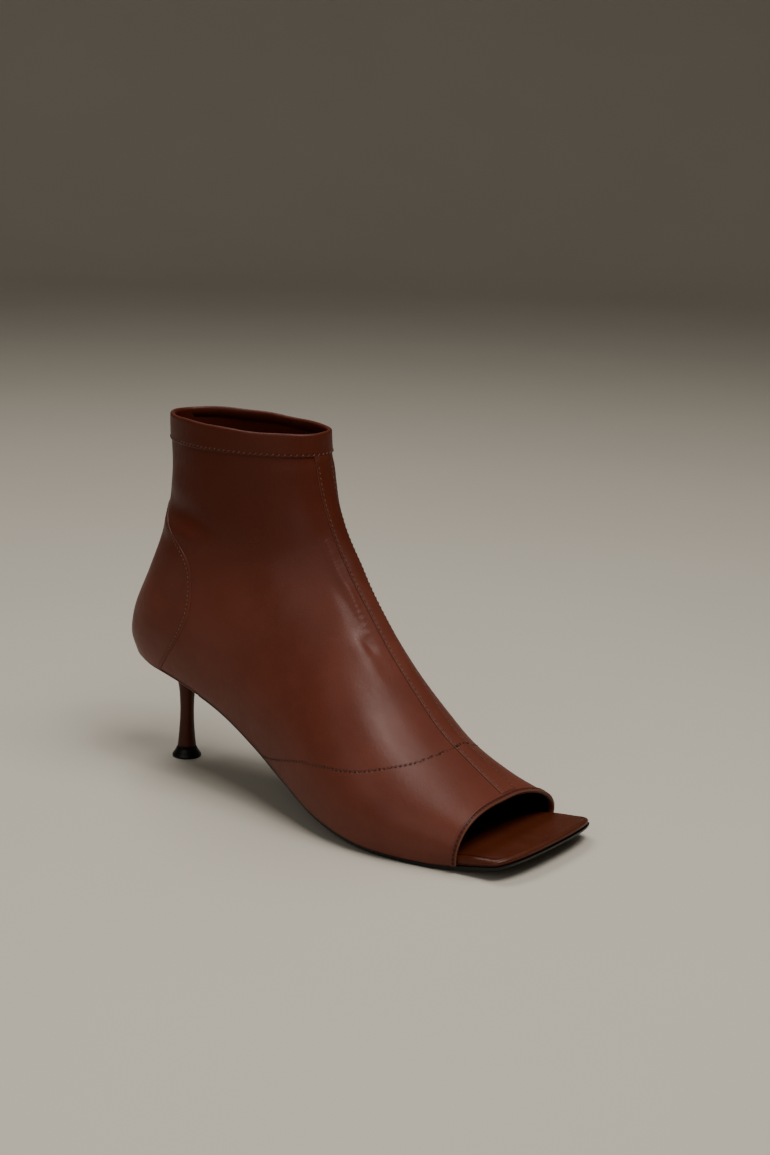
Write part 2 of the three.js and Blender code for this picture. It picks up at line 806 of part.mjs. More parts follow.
// The origin is the centre of the bottom of the box round the boot.
const box = new THREE.Box3().setFromObject(boot);
for (const mesh of boot.children) {
  mesh.geometry.translate(-(box.min.x + box.max.x) / 2, -(box.min.y + box.max.y) / 2, -box.min.z);
}

export default boot;
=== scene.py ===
"""Open-toe ankle boot for the right foot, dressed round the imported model."""

import logging
import math
from dataclasses import dataclass, field
from enum import Enum
from functools import partialmethod

import bpy
import numpy as np
from mathutils import Matrix, Vector


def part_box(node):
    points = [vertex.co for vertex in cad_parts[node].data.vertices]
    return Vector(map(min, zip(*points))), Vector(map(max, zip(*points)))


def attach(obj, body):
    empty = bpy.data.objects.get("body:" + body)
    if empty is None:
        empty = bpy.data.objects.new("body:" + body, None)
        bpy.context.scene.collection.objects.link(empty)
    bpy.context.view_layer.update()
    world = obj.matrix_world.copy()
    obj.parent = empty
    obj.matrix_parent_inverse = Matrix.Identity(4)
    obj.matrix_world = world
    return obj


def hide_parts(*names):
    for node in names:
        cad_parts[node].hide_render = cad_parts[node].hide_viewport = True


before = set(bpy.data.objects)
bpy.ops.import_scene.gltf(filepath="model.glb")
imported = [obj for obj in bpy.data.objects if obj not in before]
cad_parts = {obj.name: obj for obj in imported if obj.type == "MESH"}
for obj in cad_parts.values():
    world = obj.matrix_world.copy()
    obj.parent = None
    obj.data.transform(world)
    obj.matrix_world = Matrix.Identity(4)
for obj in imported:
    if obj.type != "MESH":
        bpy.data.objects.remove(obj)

log = logging.getLogger("boot")

MM = 0.001
# Distance kept for points that lie away from every seam, in millimetres.
OFF_SEAM = 9.0
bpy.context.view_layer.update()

Spot = tuple[float, float]


def table(names: str, *rows: tuple[float, ...]) -> dict[str, np.ndarray]:
    """Names the columns of a short table.

    Args:
        names: Column names, parted by blanks.
        rows: One tuple of values for each row.

    Returns:
        Each column as an array under its name.
    """
    return dict(zip(names.split(), np.array(rows, dtype=float).T))


# Each row is a slice that fans from the toe opening, round the instep, to the collar.
# back and front: its lower and upper end, as shares of the upper's length.
# rise: lower end above the seat line, as a share of the height left to the collar.
# top: upper end, 0 to 1 from floor to instep and 1 to 2 from instep to collar.
# lean: shift of the ridge to the inner side, as a share of the ball's width.
# outer and inner: greatest half width on each side, as shares of the ball's width.
# belly: where that width lies between the ends.
# crest and flank: fullness above it on the outer and inner side, more is peaked.
FORM = table(
    "back rise front top lean outer inner belly crest flank",
    (1.0, 0, 1.01, 0.204, 0, 0.5, 0.465, 0.2, 0.61, 1.2),
    (0.92, 0, 0.929, 0.28, 0.005, 0.549, 0.44, 0.2, 0.8, 1.36),
    (0.84, 0, 0.856, 0.36, 0.01, 0.595, 0.432, 0.2, 0.97, 1.46),
    (0.756, 0, 0.787, 0.465, 0.02, 0.604, 0.439, 0.2, 1.06, 1.42),
    (0.667, 0, 0.729, 0.57, 0.025, 0.579, 0.421, 0.2, 1.1, 1.38),
    (0.564, 0, 0.676, 0.682, 0.03, 0.518, 0.378, 0.22, 1.12, 1.28),
    (0.449, 0, 0.636, 0.771, 0.035, 0.439, 0.341, 0.25, 1.1, 1.18),
    (0.324, 0, 0.609, 0.837, 0.035, 0.39, 0.341, 0.27, 1.05, 1.08),
    (0.2, 0, 0.589, 0.891, 0.035, 0.376, 0.351, 0.28, 1.0, 1.0),
    (0.093, 0, 0.57, 0.942, 0.035, 0.372, 0.354, 0.27, 0.96, 0.96),
    (0.024, 0, 0.551, 1.0, 0.035, 0.366, 0.357, 0.27, 0.93, 0.93),
    (0.018, 0.133, 0.535, 1.165, 0.035, 0.346, 0.355, 0.3, 0.9, 0.9),
    (0.053, 0.324, 0.521, 1.32, 0.035, 0.322, 0.35, 0.36, 0.9, 0.9),
    (0.088, 0.539, 0.51, 1.485, 0.035, 0.298, 0.344, 0.42, 0.9, 0.9),
    (0.099, 0.739, 0.503, 1.62, 0.035, 0.283, 0.342, 0.46, 0.9, 0.9),
    (0.097, 0.888, 0.496, 1.745, 0.035, 0.274, 0.338, 0.48, 0.9, 0.9),
    (0.095, 1.0, 0.493, 1.975, 0.035, 0.27, 0.335, 0.49, 0.9, 0.9),
)

# Seat line and plan outline, in even steps of the length from the heel.
# rise: share of the seat's rise. outer and inner: half widths as shares of the ball's width.
LINE = table(
    "rise outer inner",
    (1.0, 0.262, 0.262),
    (0.905, 0.28, 0.275),
    (0.811, 0.307, 0.284),
    (0.66, 0.322, 0.258),
    (0.476, 0.378, 0.251),
    (0.307, 0.476, 0.299),
    (0.129, 0.556, 0.371),
    (0.032, 0.588, 0.41),
    (0.0, 0.552, 0.412),
    (0.0, 0.488, 0.455),
    (0.0, 0.448, 0.488),
)


def spline(values: np.ndarray, at: np.ndarray) -> np.ndarray:
    """Smooth curve through even rows, by the cubic through each row's four neighbours.

    Args:
        values: One value or point for each row.
        at: Fractional rows.

    Returns:
        The curve's values there.
    """
    at = np.asarray(at, dtype=float)
    end = len(values) - 1
    row = np.clip(np.floor(at), 0, end - 1).astype(int)
    ends = (2 * values[:1] - values[1:2], 2 * values[-1:] - values[-2:-1])
    padded = np.concatenate([ends[0], values, ends[1]])
    before, start, stop, after = (padded[row + k] for k in range(4))
    t = at - row
    if values.ndim > 1:
        t = t[..., None]
    second = 2 * before - 5 * start + 4 * stop - after
    third = 3 * (start - stop) + after - before
    return 0.5 * (2 * start + t * (stop - before + t * (second + t * third)))


def ease(value: np.ndarray, start: float, stop: float) -> np.ndarray:
    """Gives 0 below the span and 1 above it, with an even start and end."""
    t = np.clip((value - start) / (stop - start), 0, 1)
    return t * t * (3 - 2 * t)


def unit(vectors: np.ndarray) -> np.ndarray:
    """Scales vectors to length one."""
    return vectors / np.linalg.norm(vectors, axis=-1, keepdims=True)


def runs_along(line: np.ndarray) -> np.ndarray:
    """Run along a line, from its start to each of its points."""
    return np.concatenate([[0], np.cumsum(np.linalg.norm(np.diff(line, axis=0), axis=1))])


def at_runs(values: np.ndarray, runs: np.ndarray, wanted: np.ndarray) -> np.ndarray:
    """Points or directions between those of a line, at the wanted runs."""
    return np.stack([np.interp(wanted, runs, values[:, k]) for k in range(3)], axis=1)


def both_sides(x: np.ndarray, z: np.ndarray, outer: np.ndarray, inner: np.ndarray) -> np.ndarray:
    """Points of an outline: its outer half and then its inner half, both in the order of x."""
    return np.concatenate([np.stack([x, -outer, z], axis=1), np.stack([x, inner, z], axis=1)])


@dataclass(frozen=True)
class Last:
    """Form of the boot: seat line, plan outline and the slices of the upper, in millimetres."""

    length: float = 251.0
    ball_width: float = 82.0
    toe_reach: float = 26.0
    instep_height: float = 129.0
    shaft_height: float = 176.0
    seat_rise: float = 56.0
    toe_spring: float = 6.5
    toe_corner: float = 10.0
    toe_power: float = 2.5
    heel_round: float = 24.0
    heel_power: float = 2.1
    fit: float = 0.3
    sole_thickness: float = 2.0
    spring_start: float = 0.842
    spring_power: float = 1.4
    turn: int = 10
    arc_steps: int = 96
    nudge: float = 0.004

    @property
    def upper_length(self) -> float:
        """Length of the upper, from heel to toe opening."""
        return self.length - self.toe_reach

    @property
    def top(self) -> float:
        """Height of the seat line where the sole lies on the floor."""
        return self.fit + self.sole_thickness

    @property
    def last(self) -> int:
        """Number of the collar's slice."""
        return len(FORM["back"]) - 1

    @property
    def feather_back(self) -> float:
        """Rearmost place of the seat line."""
        return FORM["back"][self.turn] * self.upper_length

    def seat(self, x: np.ndarray) -> np.ndarray:
        """Height of the seat line: the table's rise, and the toe's spring as a power curve."""
        share = np.asarray(x) / self.length
        rise = np.maximum(0, spline(LINE["rise"], share * 10))
        ahead = np.maximum(0, (share - self.spring_start) / (1 - self.spring_start))
        return self.top + self.seat_rise * rise + self.toe_spring * ahead**self.spring_power

    def half_width(self, x: np.ndarray, side: int, inset: float = 0.0) -> np.ndarray:
        """Half width of the plan outline: the table's width, rounded at toe and heel.

        Args:
            x: Places along the boot.
            side: -1 the outer side, 1 the inner side.
            inset: How far the outline is drawn in.

        Returns:
            Distances from the middle line, all positive.
        """
        x = np.asarray(x, dtype=float)
        key = "outer" if side < 0 else "inner"
        width = self.ball_width * spline(LINE[key], x / self.length * 10) - inset
        toe = np.maximum(0, x - self.length + self.toe_corner) / (self.toe_corner - inset)
        heel = np.maximum(0, self.feather_back + self.heel_round - x)
        heel = heel / (self.heel_round - inset)
        front = (1 - np.minimum(1, toe) ** self.toe_power) ** (1 / self.toe_power)
        back = (1 - np.minimum(1, heel) ** self.heel_power) ** (1 / self.heel_power)
        return width * front * back

    def _slice(self, s: np.ndarray) -> dict[str, np.ndarray]:
        """Ends, widths and form of slices, with a trailing axis of one for what lies across."""
        s = np.asarray(s, dtype=float)[:, None]
        value = {name: spline(rows, s) for name, rows in FORM.items()}
        x = value["back"] * self.upper_length
        base = self.seat(x)
        closed = s >= self.turn
        climb = np.where(closed, np.maximum(0, value["rise"]), 0)
        above = np.maximum(0, FORM["top"] - 1) * (self.shaft_height - self.instep_height)
        high = spline(np.minimum(FORM["top"], 1) * self.instep_height + above, s)
        low = base + climb * (self.shaft_height - base)
        lean = value["lean"] * self.ball_width
        form = {
            "lower": np.stack([x, 0 * x, low], axis=-1),
            "upper": np.stack([value["front"] * self.upper_length, 0 * x, high], axis=-1),
            "lean": lean,
            "back_lean": lean * ease(s, self.turn, self.last - 2),
            "belly": value["belly"],
        }
        for side, width, fullness in ((-1, "outer", "crest"), (1, "inner", "flank")):
            form[f"width{side}"] = self.ball_width * value[width]
            form[f"full{side}"] = value[fullness]
            form[f"edge{side}"] = np.where(closed, 0, self.half_width(x, side))
        return form

    def _across(self, form: dict[str, np.ndarray], side: int, q: np.ndarray) -> np.ndarray:
        """Points of slices at a turn: 0 the lower end, 1 the widest place, 2 the ridge.

        Below the widest place the outline is an arc that starts at the seat line's width.
        Above it the width is a cosine raised to the fullness, over a sine of height.
        """
        width, belly, full = form[f"width{side}"], form["belly"], form[f"full{side}"]
        start = np.arcsin(np.minimum(0.995, form[f"edge{side}"] / width))
        below = start + (np.pi / 2 - start) * np.minimum(q, 1)
        over = np.pi / 2 * (np.maximum(q, 1) - 1)
        low = q < 1
        reach = np.maximum(0, np.cos(over)) ** full
        across = width * np.where(low, np.sin(below), reach)
        under = belly * (1 - np.cos(below) / np.cos(start))
        along = np.where(low, under, belly + (1 - belly) * np.sin(over))
        bend = form["back_lean"] * (1 - along / belly) ** 2
        tilt = form["lean"] * ((along - belly) / (1 - belly)) ** 2
        point = form["lower"] + (form["upper"] - form["lower"]) * along[..., None]
        point[..., 1] = side * across + np.where(low, bend, tilt)
        return point

    def girth(self, s: np.ndarray, side: int) -> np.ndarray:
        """Girth from the ridge to the lower end on one side."""
        return self._runs(self._slice(s), side)[:, -1]

    def _runs(self, form: dict[str, np.ndarray], side: int) -> np.ndarray:
        """Girth run along one side of slices, at even turns from the lower end."""
        turns = np.linspace(0, 2, self.arc_steps + 1)[None, :]
        points = self._across(form, side, turns)
        lengths = np.linalg.norm(np.diff(points, axis=1), axis=-1)
        return np.concatenate([0 * lengths[:, :1], np.cumsum(lengths, axis=1)], axis=1)

    def surface(self, s: np.ndarray, t: np.ndarray) -> np.ndarray:
        """Outer face of the upper.

        Args:
            s: Slice of each row, 0 the toe opening and 16 the collar.
            t: Share of the girth for each row and column, from -1, the outer lower end,
                over the ridge at 0, to 1.

        Returns:
            A point for each row and column.
        """
        s = np.asarray(s, dtype=float)
        t = np.broadcast_to(np.asarray(t, dtype=float), (len(s), np.shape(t)[-1]))
        form = self._slice(s)
        result = np.zeros(t.shape + (3,))
        for side in (-1, 1):
            runs = self._runs(form, side)
            reach = (1 - np.abs(t)) * runs[:, -1:]
            step = (runs[:, None, :] <= reach[:, :, None]).sum(-1) - 1
            step = np.clip(step, 0, self.arc_steps - 1)
            low = np.take_along_axis(runs, step, axis=1)
            high = np.take_along_axis(runs, step + 1, axis=1)
            q = 2 * (step + (reach - low) / (high - low)) / self.arc_steps
            chosen = (t < 0) if side < 0 else (t >= 0)
            result = np.where(chosen[..., None], self._across(form, side, q), result)
        return result

    def outward(self, s: np.ndarray, t: np.ndarray) -> np.ndarray:
        """Outward directions of the upper, from differences along and across the slices."""
        s = np.asarray(s, dtype=float)
        t = np.broadcast_to(np.asarray(t, dtype=float), (len(s), np.shape(t)[-1]))
        closed = s >= self.turn
        high = np.where(closed, self.last, self.turn - self.nudge)
        low = np.where(closed, self.turn, 0)
        ahead = self.surface(np.minimum(s + self.nudge, np.maximum(high, s)), t)
        along = ahead - self.surface(np.maximum(s - self.nudge, low), t)
        right = self.surface(s, np.minimum(1, t + self.nudge))
        left = self.surface(s, np.maximum(-1, t - self.nudge))
        seam = closed[:, None] & (np.abs(t) > 1 - self.nudge)
        if seam.any():
            ends = self.surface(s, np.tile([self.nudge - 1, 1 - self.nudge], (len(s), 1)))
            right = np.where(seam[..., None], ends[:, :1], right)
            left = np.where(seam[..., None], ends[:, 1:], left)
        return unit(np.cross(right - left, along))


@dataclass(frozen=True)
class Fold:
    """A soft ridge or trough in the upper, along a path of spots on the last."""

    path: tuple[Spot, ...]
    height: float
    width: float
    start: float = 0.25
    stop: float = 0.25

    def lift(self, last: Last, points: np.ndarray) -> np.ndarray:
        """Height of the fold at points on the last.

        It is a bell curve of the distance to the path, which fades in and out along it.

        Args:
            last: The last under the fold.
            points: Points on its surface, in a flat list.

        Returns:
            The lift of each point, in millimetres.
        """
        at = np.linspace(0, len(self.path) - 1, 40)
        spots = spline(np.array(self.path), at)
        line = last.surface(spots[:, 0], spots[:, 1:])[:, 0]
        lows, highs = line.min(0) - 3 * self.width, line.max(0) + 3 * self.width
        near = np.flatnonzero(((points > lows) & (points < highs)).all(-1))
        result = np.zeros(len(points))
        if len(near) == 0:
            return result
        gaps = np.linalg.norm(points[near, None, :] - line[None, :, :], axis=-1)
        along = gaps.argmin(1) / (len(line) - 1)
        fade = ease(along, 0, self.start) * ease(1 - along, 0, self.stop)
        result[near] = self.height * fade * np.exp(-0.5 * (gaps.min(1) / self.width) ** 2)
        return result


# Main creases of the leather: ridges above zero, troughs below it.
FOLDS = (
    # The shaft breaks over the heel counter.
    Fold(
        ((13.75, -0.93), (13.45, -0.81), (13.05, -0.65), (12.6, -0.53), (12.1, -0.41)),
        -1.15, 4.6, 0.4, 0.5,
    ),
    Fold(((13.3, -0.93), (13.0, -0.81), (12.6, -0.65), (12.2, -0.54), (11.75, -0.42)), 1.35, 3.0, 0.4, 0.5),
    Fold(((12.8, -0.9), (12.3, -0.72), (11.8, -0.58), (11.3, -0.46)), 0.5, 6.5, 0.4, 0.5),
    Fold(((13.5, 0.93), (13.2, 0.8), (12.85, 0.66), (12.5, 0.52)), -0.8, 6.0, 0.4, 0.5),
    Fold(((13.0, 0.93), (12.75, 0.8), (12.4, 0.66), (12.0, 0.5)), 0.9, 3.6, 0.4, 0.5),
    # Long pleats beside the front strip.
    Fold(((11.0, -0.06), (9.4, -0.07), (7.6, -0.088), (6.65, -0.09), (4.5, -0.125)), 0.85, 1.3, 0.35),
    Fold(((10.2, -0.11), (7.8, -0.125), (6.2, -0.13), (4.8, -0.155)), -0.35, 2.4, 0.4),
    Fold(((5.3, -0.15), (4.9, -0.145), (4.5, -0.14)), -0.6, 1.8, 0.4, 0.4),
    Fold(((5.6, -0.19), (5.0, -0.19), (4.3, -0.205), (3.4, -0.22)), 0.7, 3.4, 0.4, 0.4),
    Fold(((10.6, 0.1), (8.6, 0.12), (6.6, 0.13), (4.9, 0.15)), 0.8, 2.2),
    Fold(((9.2, 0.18), (7.2, 0.18), (5.4, 0.19)), -0.7, 3.4),
    # Broad hollows of the ankle and the arch.
    Fold(((12.2, -0.62), (11.6, -0.46), (11.1, -0.32), (10.7, -0.2)), -0.7, 9.0, 0.4, 0.4),
    Fold(((9.6, -0.34), (8.4, -0.3), (7.2, -0.3)), 0.7, 8.0, 0.4, 0.4),
    Fold(((11.6, 0.5), (11.2, 0.36), (10.9, 0.24)), -0.9, 9.0, 0.4, 0.4),
    Fold(((7.6, 0.7), (6.4, 0.64), (5.2, 0.6)), -0.7, 8.0, 0.4, 0.4),
    Fold(((6.6, -0.62), (5.4, -0.55), (4.4, -0.5)), -0.5, 8.0, 0.4, 0.4),
)

# Long shallow waves that keep the leather from looking turned on a lathe.
# x, y, z: directions. turns: waves over 100 mm. height: in millimetres. shift: start.
WAVES = table(
    "x y z turns height shift",
    (0.8, 0.2, -0.55, 2.3, 0.14, 0.4),
    (-0.3, 0.5, 0.8, 3.1, 0.11, 1.9),
    (0.5, -0.7, 0.5, 4.7, 0.06, 3.1),
    (0.2, 0.9, 0.35, 6.1, 0.035, 5.0),
)


def relief(last: Last, points: np.ndarray) -> np.ndarray:
    """Sums every fold and wave at points on the last.

    Args:
        last: The last under the leather.
        points: Points on its surface, with any leading axes.

    Returns:
        The lift of each point along the outward direction.
    """
    flat = points.reshape(-1, 3)
    total = np.zeros(len(flat))
    for fold in FOLDS:
        total += fold.lift(last, flat)
    directions = np.stack([WAVES["x"], WAVES["y"], WAVES["z"]])
    phase = flat @ directions * (2 * np.pi / 100) * WAVES["turns"] + WAVES["shift"]
    total += np.sin(phase) @ WAVES["height"]
    return total.reshape(points.shape[:-1])


@dataclass
class Leather:
    """The last with its creases: places on the finished outer face of the upper."""

    last: Last = field(default_factory=Last)
    shift: np.ndarray = field(default_factory=lambda: np.zeros(3))

    def place(self, s: np.ndarray, t: np.ndarray, lift: np.ndarray | float = 0.0) -> np.ndarray:
        """Points above the creased face.

        Args:
            s: Slice of each row.
            t: Girth share of each row and column.
            lift: Height above the face, below zero for the inside.

        Returns:
            A point for each row and column.
        """
        points, normals = self.face(s, t)
        return points + normals * np.broadcast_to(lift, points.shape[:-1])[..., None]

    def face(self, s: np.ndarray, t: np.ndarray) -> tuple[np.ndarray, np.ndarray]:
        """Points of the creased face and the last's outward directions there."""
        base = self.last.surface(s, t)
        normals = self.last.outward(s, t)
        return base + normals * relief(self.last, base)[..., None], normals

    def slice_at_height(self, height: float) -> float:
        """Slice whose back end lies at a height."""
        s = np.linspace(self.last.turn, self.last.last, 600)
        ends = self.last.surface(s, np.ones((len(s), 1)))[:, 0, 2]
        return float(np.interp(height, ends, s))

    def slice_at_run(self, run: float) -> float:
        """Slice whose ridge lies a run behind the toe opening."""
        s = np.linspace(0, 2, 200)
        ridge = self.last.surface(s, np.zeros((len(s), 1)))[:, 0]
        return float(np.interp(run, runs_along(ridge), s))

    def line(
        self, s: np.ndarray, t: np.ndarray, lift: float = 0.0
    ) -> tuple[np.ndarray, np.ndarray]:
        """Follows one line of spots.

        Args:
            s: Slice of each spot.
            t: Girth share of each spot, in one column.
            lift: Height of the line above the face.

        Returns:
            Places and outward directions along the line.
        """
        points, normals = self.face(s, t)
        return (points + normals * lift)[:, 0], normals[:, 0]


class Socket:
    """A value in a material's nodes, on which arithmetic adds Math nodes."""

    def __init__(self, shader: "Shader", link: bpy.types.NodeSocket) -> None:
        """Keeps the shader that the value belongs to, and the value's output."""
        self.shader = shader
        self.link = link

    def math(self, operation: str, *values: "Socket | float") -> "Socket":
        """Adds one Math node whose first value is this one."""
        inputs = {0: self, **{k + 1: value for k, value in enumerate(values)}}
        return self.shader.node("ShaderNodeMath", {"operation": operation}, inputs)

    __add__ = __radd__ = partialmethod(math, "ADD")
    __sub__ = partialmethod(math, "SUBTRACT")
    __mul__ = partialmethod(math, "MULTIPLY")
    __truediv__ = partialmethod(math, "DIVIDE")
    absolute = partialmethod(math, "ABSOLUTE")
    fraction = partialmethod(math, "FRACT")
    least = partialmethod(math, "MINIMUM")

    def __rsub__(self, other: float) -> "Socket":
        """Difference from a number."""
        return self * -1.0 + other

    def eased(self, low: float, high: float) -> "Socket":
        """Goes smoothly from 0 at low to 1 at high."""
        settings = {"interpolation_type": "SMOOTHSTEP"}
        inputs = {"Value": self, "From Min": low, "From Max": high}
        return self.shader.node("ShaderNodeMapRange", settings, inputs)

    def falling(self, low: float, high: float) -> "Socket":
        """Goes smoothly from 1 at low to 0 at high."""
        return 1.0 - self.eased(low, high)


Colour = tuple[float, float, float]


class Shader:
    """The nodes of one material, with a Principled BSDF at its end."""

    def __init__(self, name: str) -> None:
        """Starts an empty material of that name."""
        self.material = bpy.data.materials.new(name)
        self.material.use_nodes = True
        self.tree = self.material.node_tree
        self.tree.nodes.clear()
        output = self.tree.nodes.new("ShaderNodeOutputMaterial")
        self.bsdf = self.tree.nodes.new("ShaderNodeBsdfPrincipled")
        self.tree.links.new(self.bsdf.outputs[0], output.inputs["Surface"])

    def node(
        self,
        kind: str,
        settings: dict[str, object],
        inputs: dict[str | int, object],
        output: str | int = 0,
    ) -> Socket:
        """Adds a node.

        Args:
            kind: The node's type.
            settings: Its properties, which are set first.
            inputs: A value or another socket for each named or numbered input.
            output: The output that is handed back.

        Returns:
            That output.
        """
        node = self.tree.nodes.new(kind)
        for name, value in settings.items():
            setattr(node, name, value)
        for key, value in inputs.items():
            self.connect(node.inputs[key], value)
        return Socket(self, node.outputs[output])

    def connect(self, target: bpy.types.NodeSocket, value: object) -> None:
        """Links a socket to an input, or sets the input's own value."""
        if isinstance(value, Socket):
            self.tree.links.new(value.link, target)
        elif isinstance(value, tuple) and len(value) == 3 and target.type == "RGBA":
            target.default_value = (*value, 1.0)
        else:
            target.default_value = value

    def place(self) -> Socket:
        """Object coordinates, in metres."""
        return self.node("ShaderNodeTexCoord", {}, {}, "Object")

    def stretched(self, scale: Colour, turned: Colour = (0.0, 0.0, 0.0)) -> Socket:
        """Object coordinates turned and then scaled along each axis."""
        inputs = {"Vector": self.place(), "Rotation": turned, "Scale": scale}
        return self.node("ShaderNodeMapping", {}, inputs)

    def mark(self, name: str) -> Socket:
        """A number kept at each vertex of the piece."""
        settings = {"attribute_type": "GEOMETRY", "attribute_name": name}
        return self.node("ShaderNodeAttribute", settings, {}, "Fac")

    def noise(self, size: float, where: Socket | None = None, detail: float = 3.0) -> Socket:
        """Cloudy noise around 0.5, with features of a size in metres."""
        inputs = {"Vector": where or self.place(), "Scale": 1 / size, "Detail": detail}
        return self.node("ShaderNodeTexNoise", {}, inputs)

    def cells(self, size: float, smooth: float = 0.6) -> Socket:
        """Rounded pebbles of a size in metres, low at their edges."""
        settings = {"feature": "SMOOTH_F1"}
        inputs = {"Vector": self.place(), "Scale": 1 / size, "Smoothness": smooth}
        return self.node("ShaderNodeTexVoronoi", settings, inputs, "Distance")

    def blend(self, share: Socket | float, first: object, second: object) -> Socket:
        """Mixes two colours, by the numbers that the Mix node gives its colour sockets."""
        inputs = {0: share, 6: first, 7: second}
        return self.node("ShaderNodeMix", {"data_type": "RGBA"}, inputs, 2)

    def finish(
        self,
        colour: object,
        roughness: Socket | float,
        height: Socket | None = None,
        constants: dict[str, float] | None = None,
    ) -> bpy.types.Material:
        """Feeds the surface shader.

        Args:
            colour: Base colour.
            roughness: Base roughness.
            height: Relief in millimetres.
            constants: Values for other inputs.

        Returns:
            The finished material.
        """
        self.connect(self.bsdf.inputs["Base Color"], colour)
        self.connect(self.bsdf.inputs["Roughness"], roughness)
        for name, value in (constants or {}).items():
            self.connect(self.bsdf.inputs[name], value)
        if height is not None:
            inputs = {"Strength": 1.0, "Distance": MM, "Height": height}
            bump = self.node("ShaderNodeBump", {}, inputs)
            self.connect(self.bsdf.inputs["Normal"], bump)
        return self.material


class Seam(Enum):
    """What a leather's marked line looks like."""

    NONE = "none"
    CLOSED = "closed"
    TOPSTITCHED = "topstitched"


@dataclass(frozen=True)
class LeatherFinish:
    """Smooth satin leather with a fine grain, soft creases, a rubbed, unevenly dyed tone, painted shade
    high on the shaft and painted shade in seam grooves and stitch holes.
    """

    name: str
    colour: Colour = (0.122, 0.0305, 0.0185)
    shade: Colour = (0.105, 0.0250, 0.0145)
    rubbed: Colour = (0.140, 0.0385, 0.0240)
    # shaft: painted shade, a darker colour blended in high up the shaft, where less light falls.
    shaft: Colour = (0.061, 0.0088, 0.0022)
    roughness: float = 0.47
    coat: float = 0.11
    seam: Seam = Seam.NONE
    pitch: float = 2.3
    raw_edge: Colour | None = None
    # Colour of painted shade in stitch holes and seam grooves.
    painted_hole_shade: Colour = (0.016, 0.003, 0.002)

    def material(self) -> bpy.types.Material:
        """Builds the material.

        Returns:
            The material, which reads the piece's seam marks where the finish has a seam.
        """
        shader = Shader(self.name)
        clouds = shader.noise(0.030, detail=4.0)
        mottle = shader.noise(0.006, detail=3.0)
        streaks = shader.noise(0.004, shader.stretched((1.0, 1.0, 0.28), (0.0, 0.35, 0.2)))
        creases = shader.noise(0.0016, shader.stretched((1.0, 1.0, 0.4), (0.2, 0.5, 0.0)))
        grain = shader.cells(0.0007)
        dye_and_painted_shade = shader.blend(clouds.eased(0.35, 0.68), self.shade, self.colour)
        dye_and_painted_shade = shader.blend(mottle.eased(0.55, 0.85) * 0.3, dye_and_painted_shade, self.rubbed)
        # Painted shade: from 85 to 135 mm up, the colour darkens toward the shaft colour, where less light
        # falls.
        level = shader.node("ShaderNodeSeparateXYZ", {}, {"Vector": shader.place()}, "Z")
        dye_and_painted_shade = shader.blend(level.eased(0.085, 0.135) * 0.85, dye_and_painted_shade, self.shaft)
        height = grain * 0.03 + creases * 0.05 + streaks * 0.09 + clouds * 0.4
        rough = self.roughness + (mottle - 0.5) * 0.2 + (creases - 0.5) * 0.2
        if self.seam is not Seam.NONE:
            line = shader.mark("seam_gap")
            run = shader.mark("seam_run")
            beat = ((run / self.pitch).fraction() - 0.5).absolute() * self.pitch
            holes = line.falling(0.25, 0.7) * beat.falling(0.15, 0.65)
            groove = line.falling(0.1, 0.9)
            if self.seam is Seam.CLOSED:
                height = height - groove * 0.30 - holes * 0.25
                # Painted shade: the closed seam's groove and holes are darkened.
                dark = (groove * 0.45 + holes * 0.55) * line.falling(0.3, 0.8)
                dye_and_painted_shade = shader.blend(dark.least(1.0), dye_and_painted_shade, self.painted_hole_shade)
            else:
                height = height - groove * 0.16 - holes * 0.3
                # Painted shade in the stitch holes.
                dye_and_painted_shade = shader.blend(holes * 0.85, dye_and_painted_shade, self.painted_hole_shade)
        if self.raw_edge is not None:
            edge = shader.mark("raw_edge")
            dye_and_painted_shade = shader.blend(edge.eased(0.35, 0.65), dye_and_painted_shade, self.raw_edge)
            rough = rough + edge * 0.25
        coat = {"Specular IOR Level": 0.15, "Coat Weight": self.coat, "Coat Roughness": 0.24}
        return shader.finish(dye_and_painted_shade, rough, height, coat)


@dataclass(frozen=True)
class LiningFinish:
    """Soft lining: dark brown in the shaft, with painted shade that turns it black toward the toe."""

    name: str = "lining"
    shaft: Colour = (0.048, 0.0062, 0.0020)
    # toe: near black, painted shade deep inside the toe.
    toe: Colour = (0.006, 0.004, 0.004)

    def material(self) -> bpy.types.Material:
        """Builds the material, which blends along the boot into painted shade inside the toe."""
        shader = Shader(self.name)
        mark = shader.mark("lining_toe_painted_shade")
        nap = shader.noise(0.0012, detail=2.0)
        lining_and_painted_shade = shader.blend(mark.eased(0.3, 0.7), self.shaft, self.toe)
        dull = {"Specular IOR Level": 0.06}
        return shader.finish(lining_and_painted_shade, 0.8 + (nap - 0.5) * 0.2, nap * 0.12, dull)


@dataclass(frozen=True)
class RubberFinish:
    """Black moulded rubber or resin sole, lightly scuffed."""

    name: str
    colour: Colour = (0.0035, 0.0033, 0.0032)
    worn: Colour = (0.010, 0.0095, 0.009)
    roughness: float = 0.45

    def material(self) -> bpy.types.Material:
        """Builds the material."""
        shader = Shader(self.name)
        scuffs = shader.noise(0.003, shader.stretched((0.3, 1.0, 1.0)), detail=4.0)
        dust = shader.noise(0.0008, detail=2.0)
        tone = shader.blend(scuffs.eased(0.52, 0.78) * 0.7, self.colour, self.worn)
        rough = self.roughness + (scuffs - 0.5) * 0.3
        dull = {"Specular IOR Level": 0.22}
        return shader.finish(tone, rough, dust * 0.04 + scuffs * 0.05, dull)


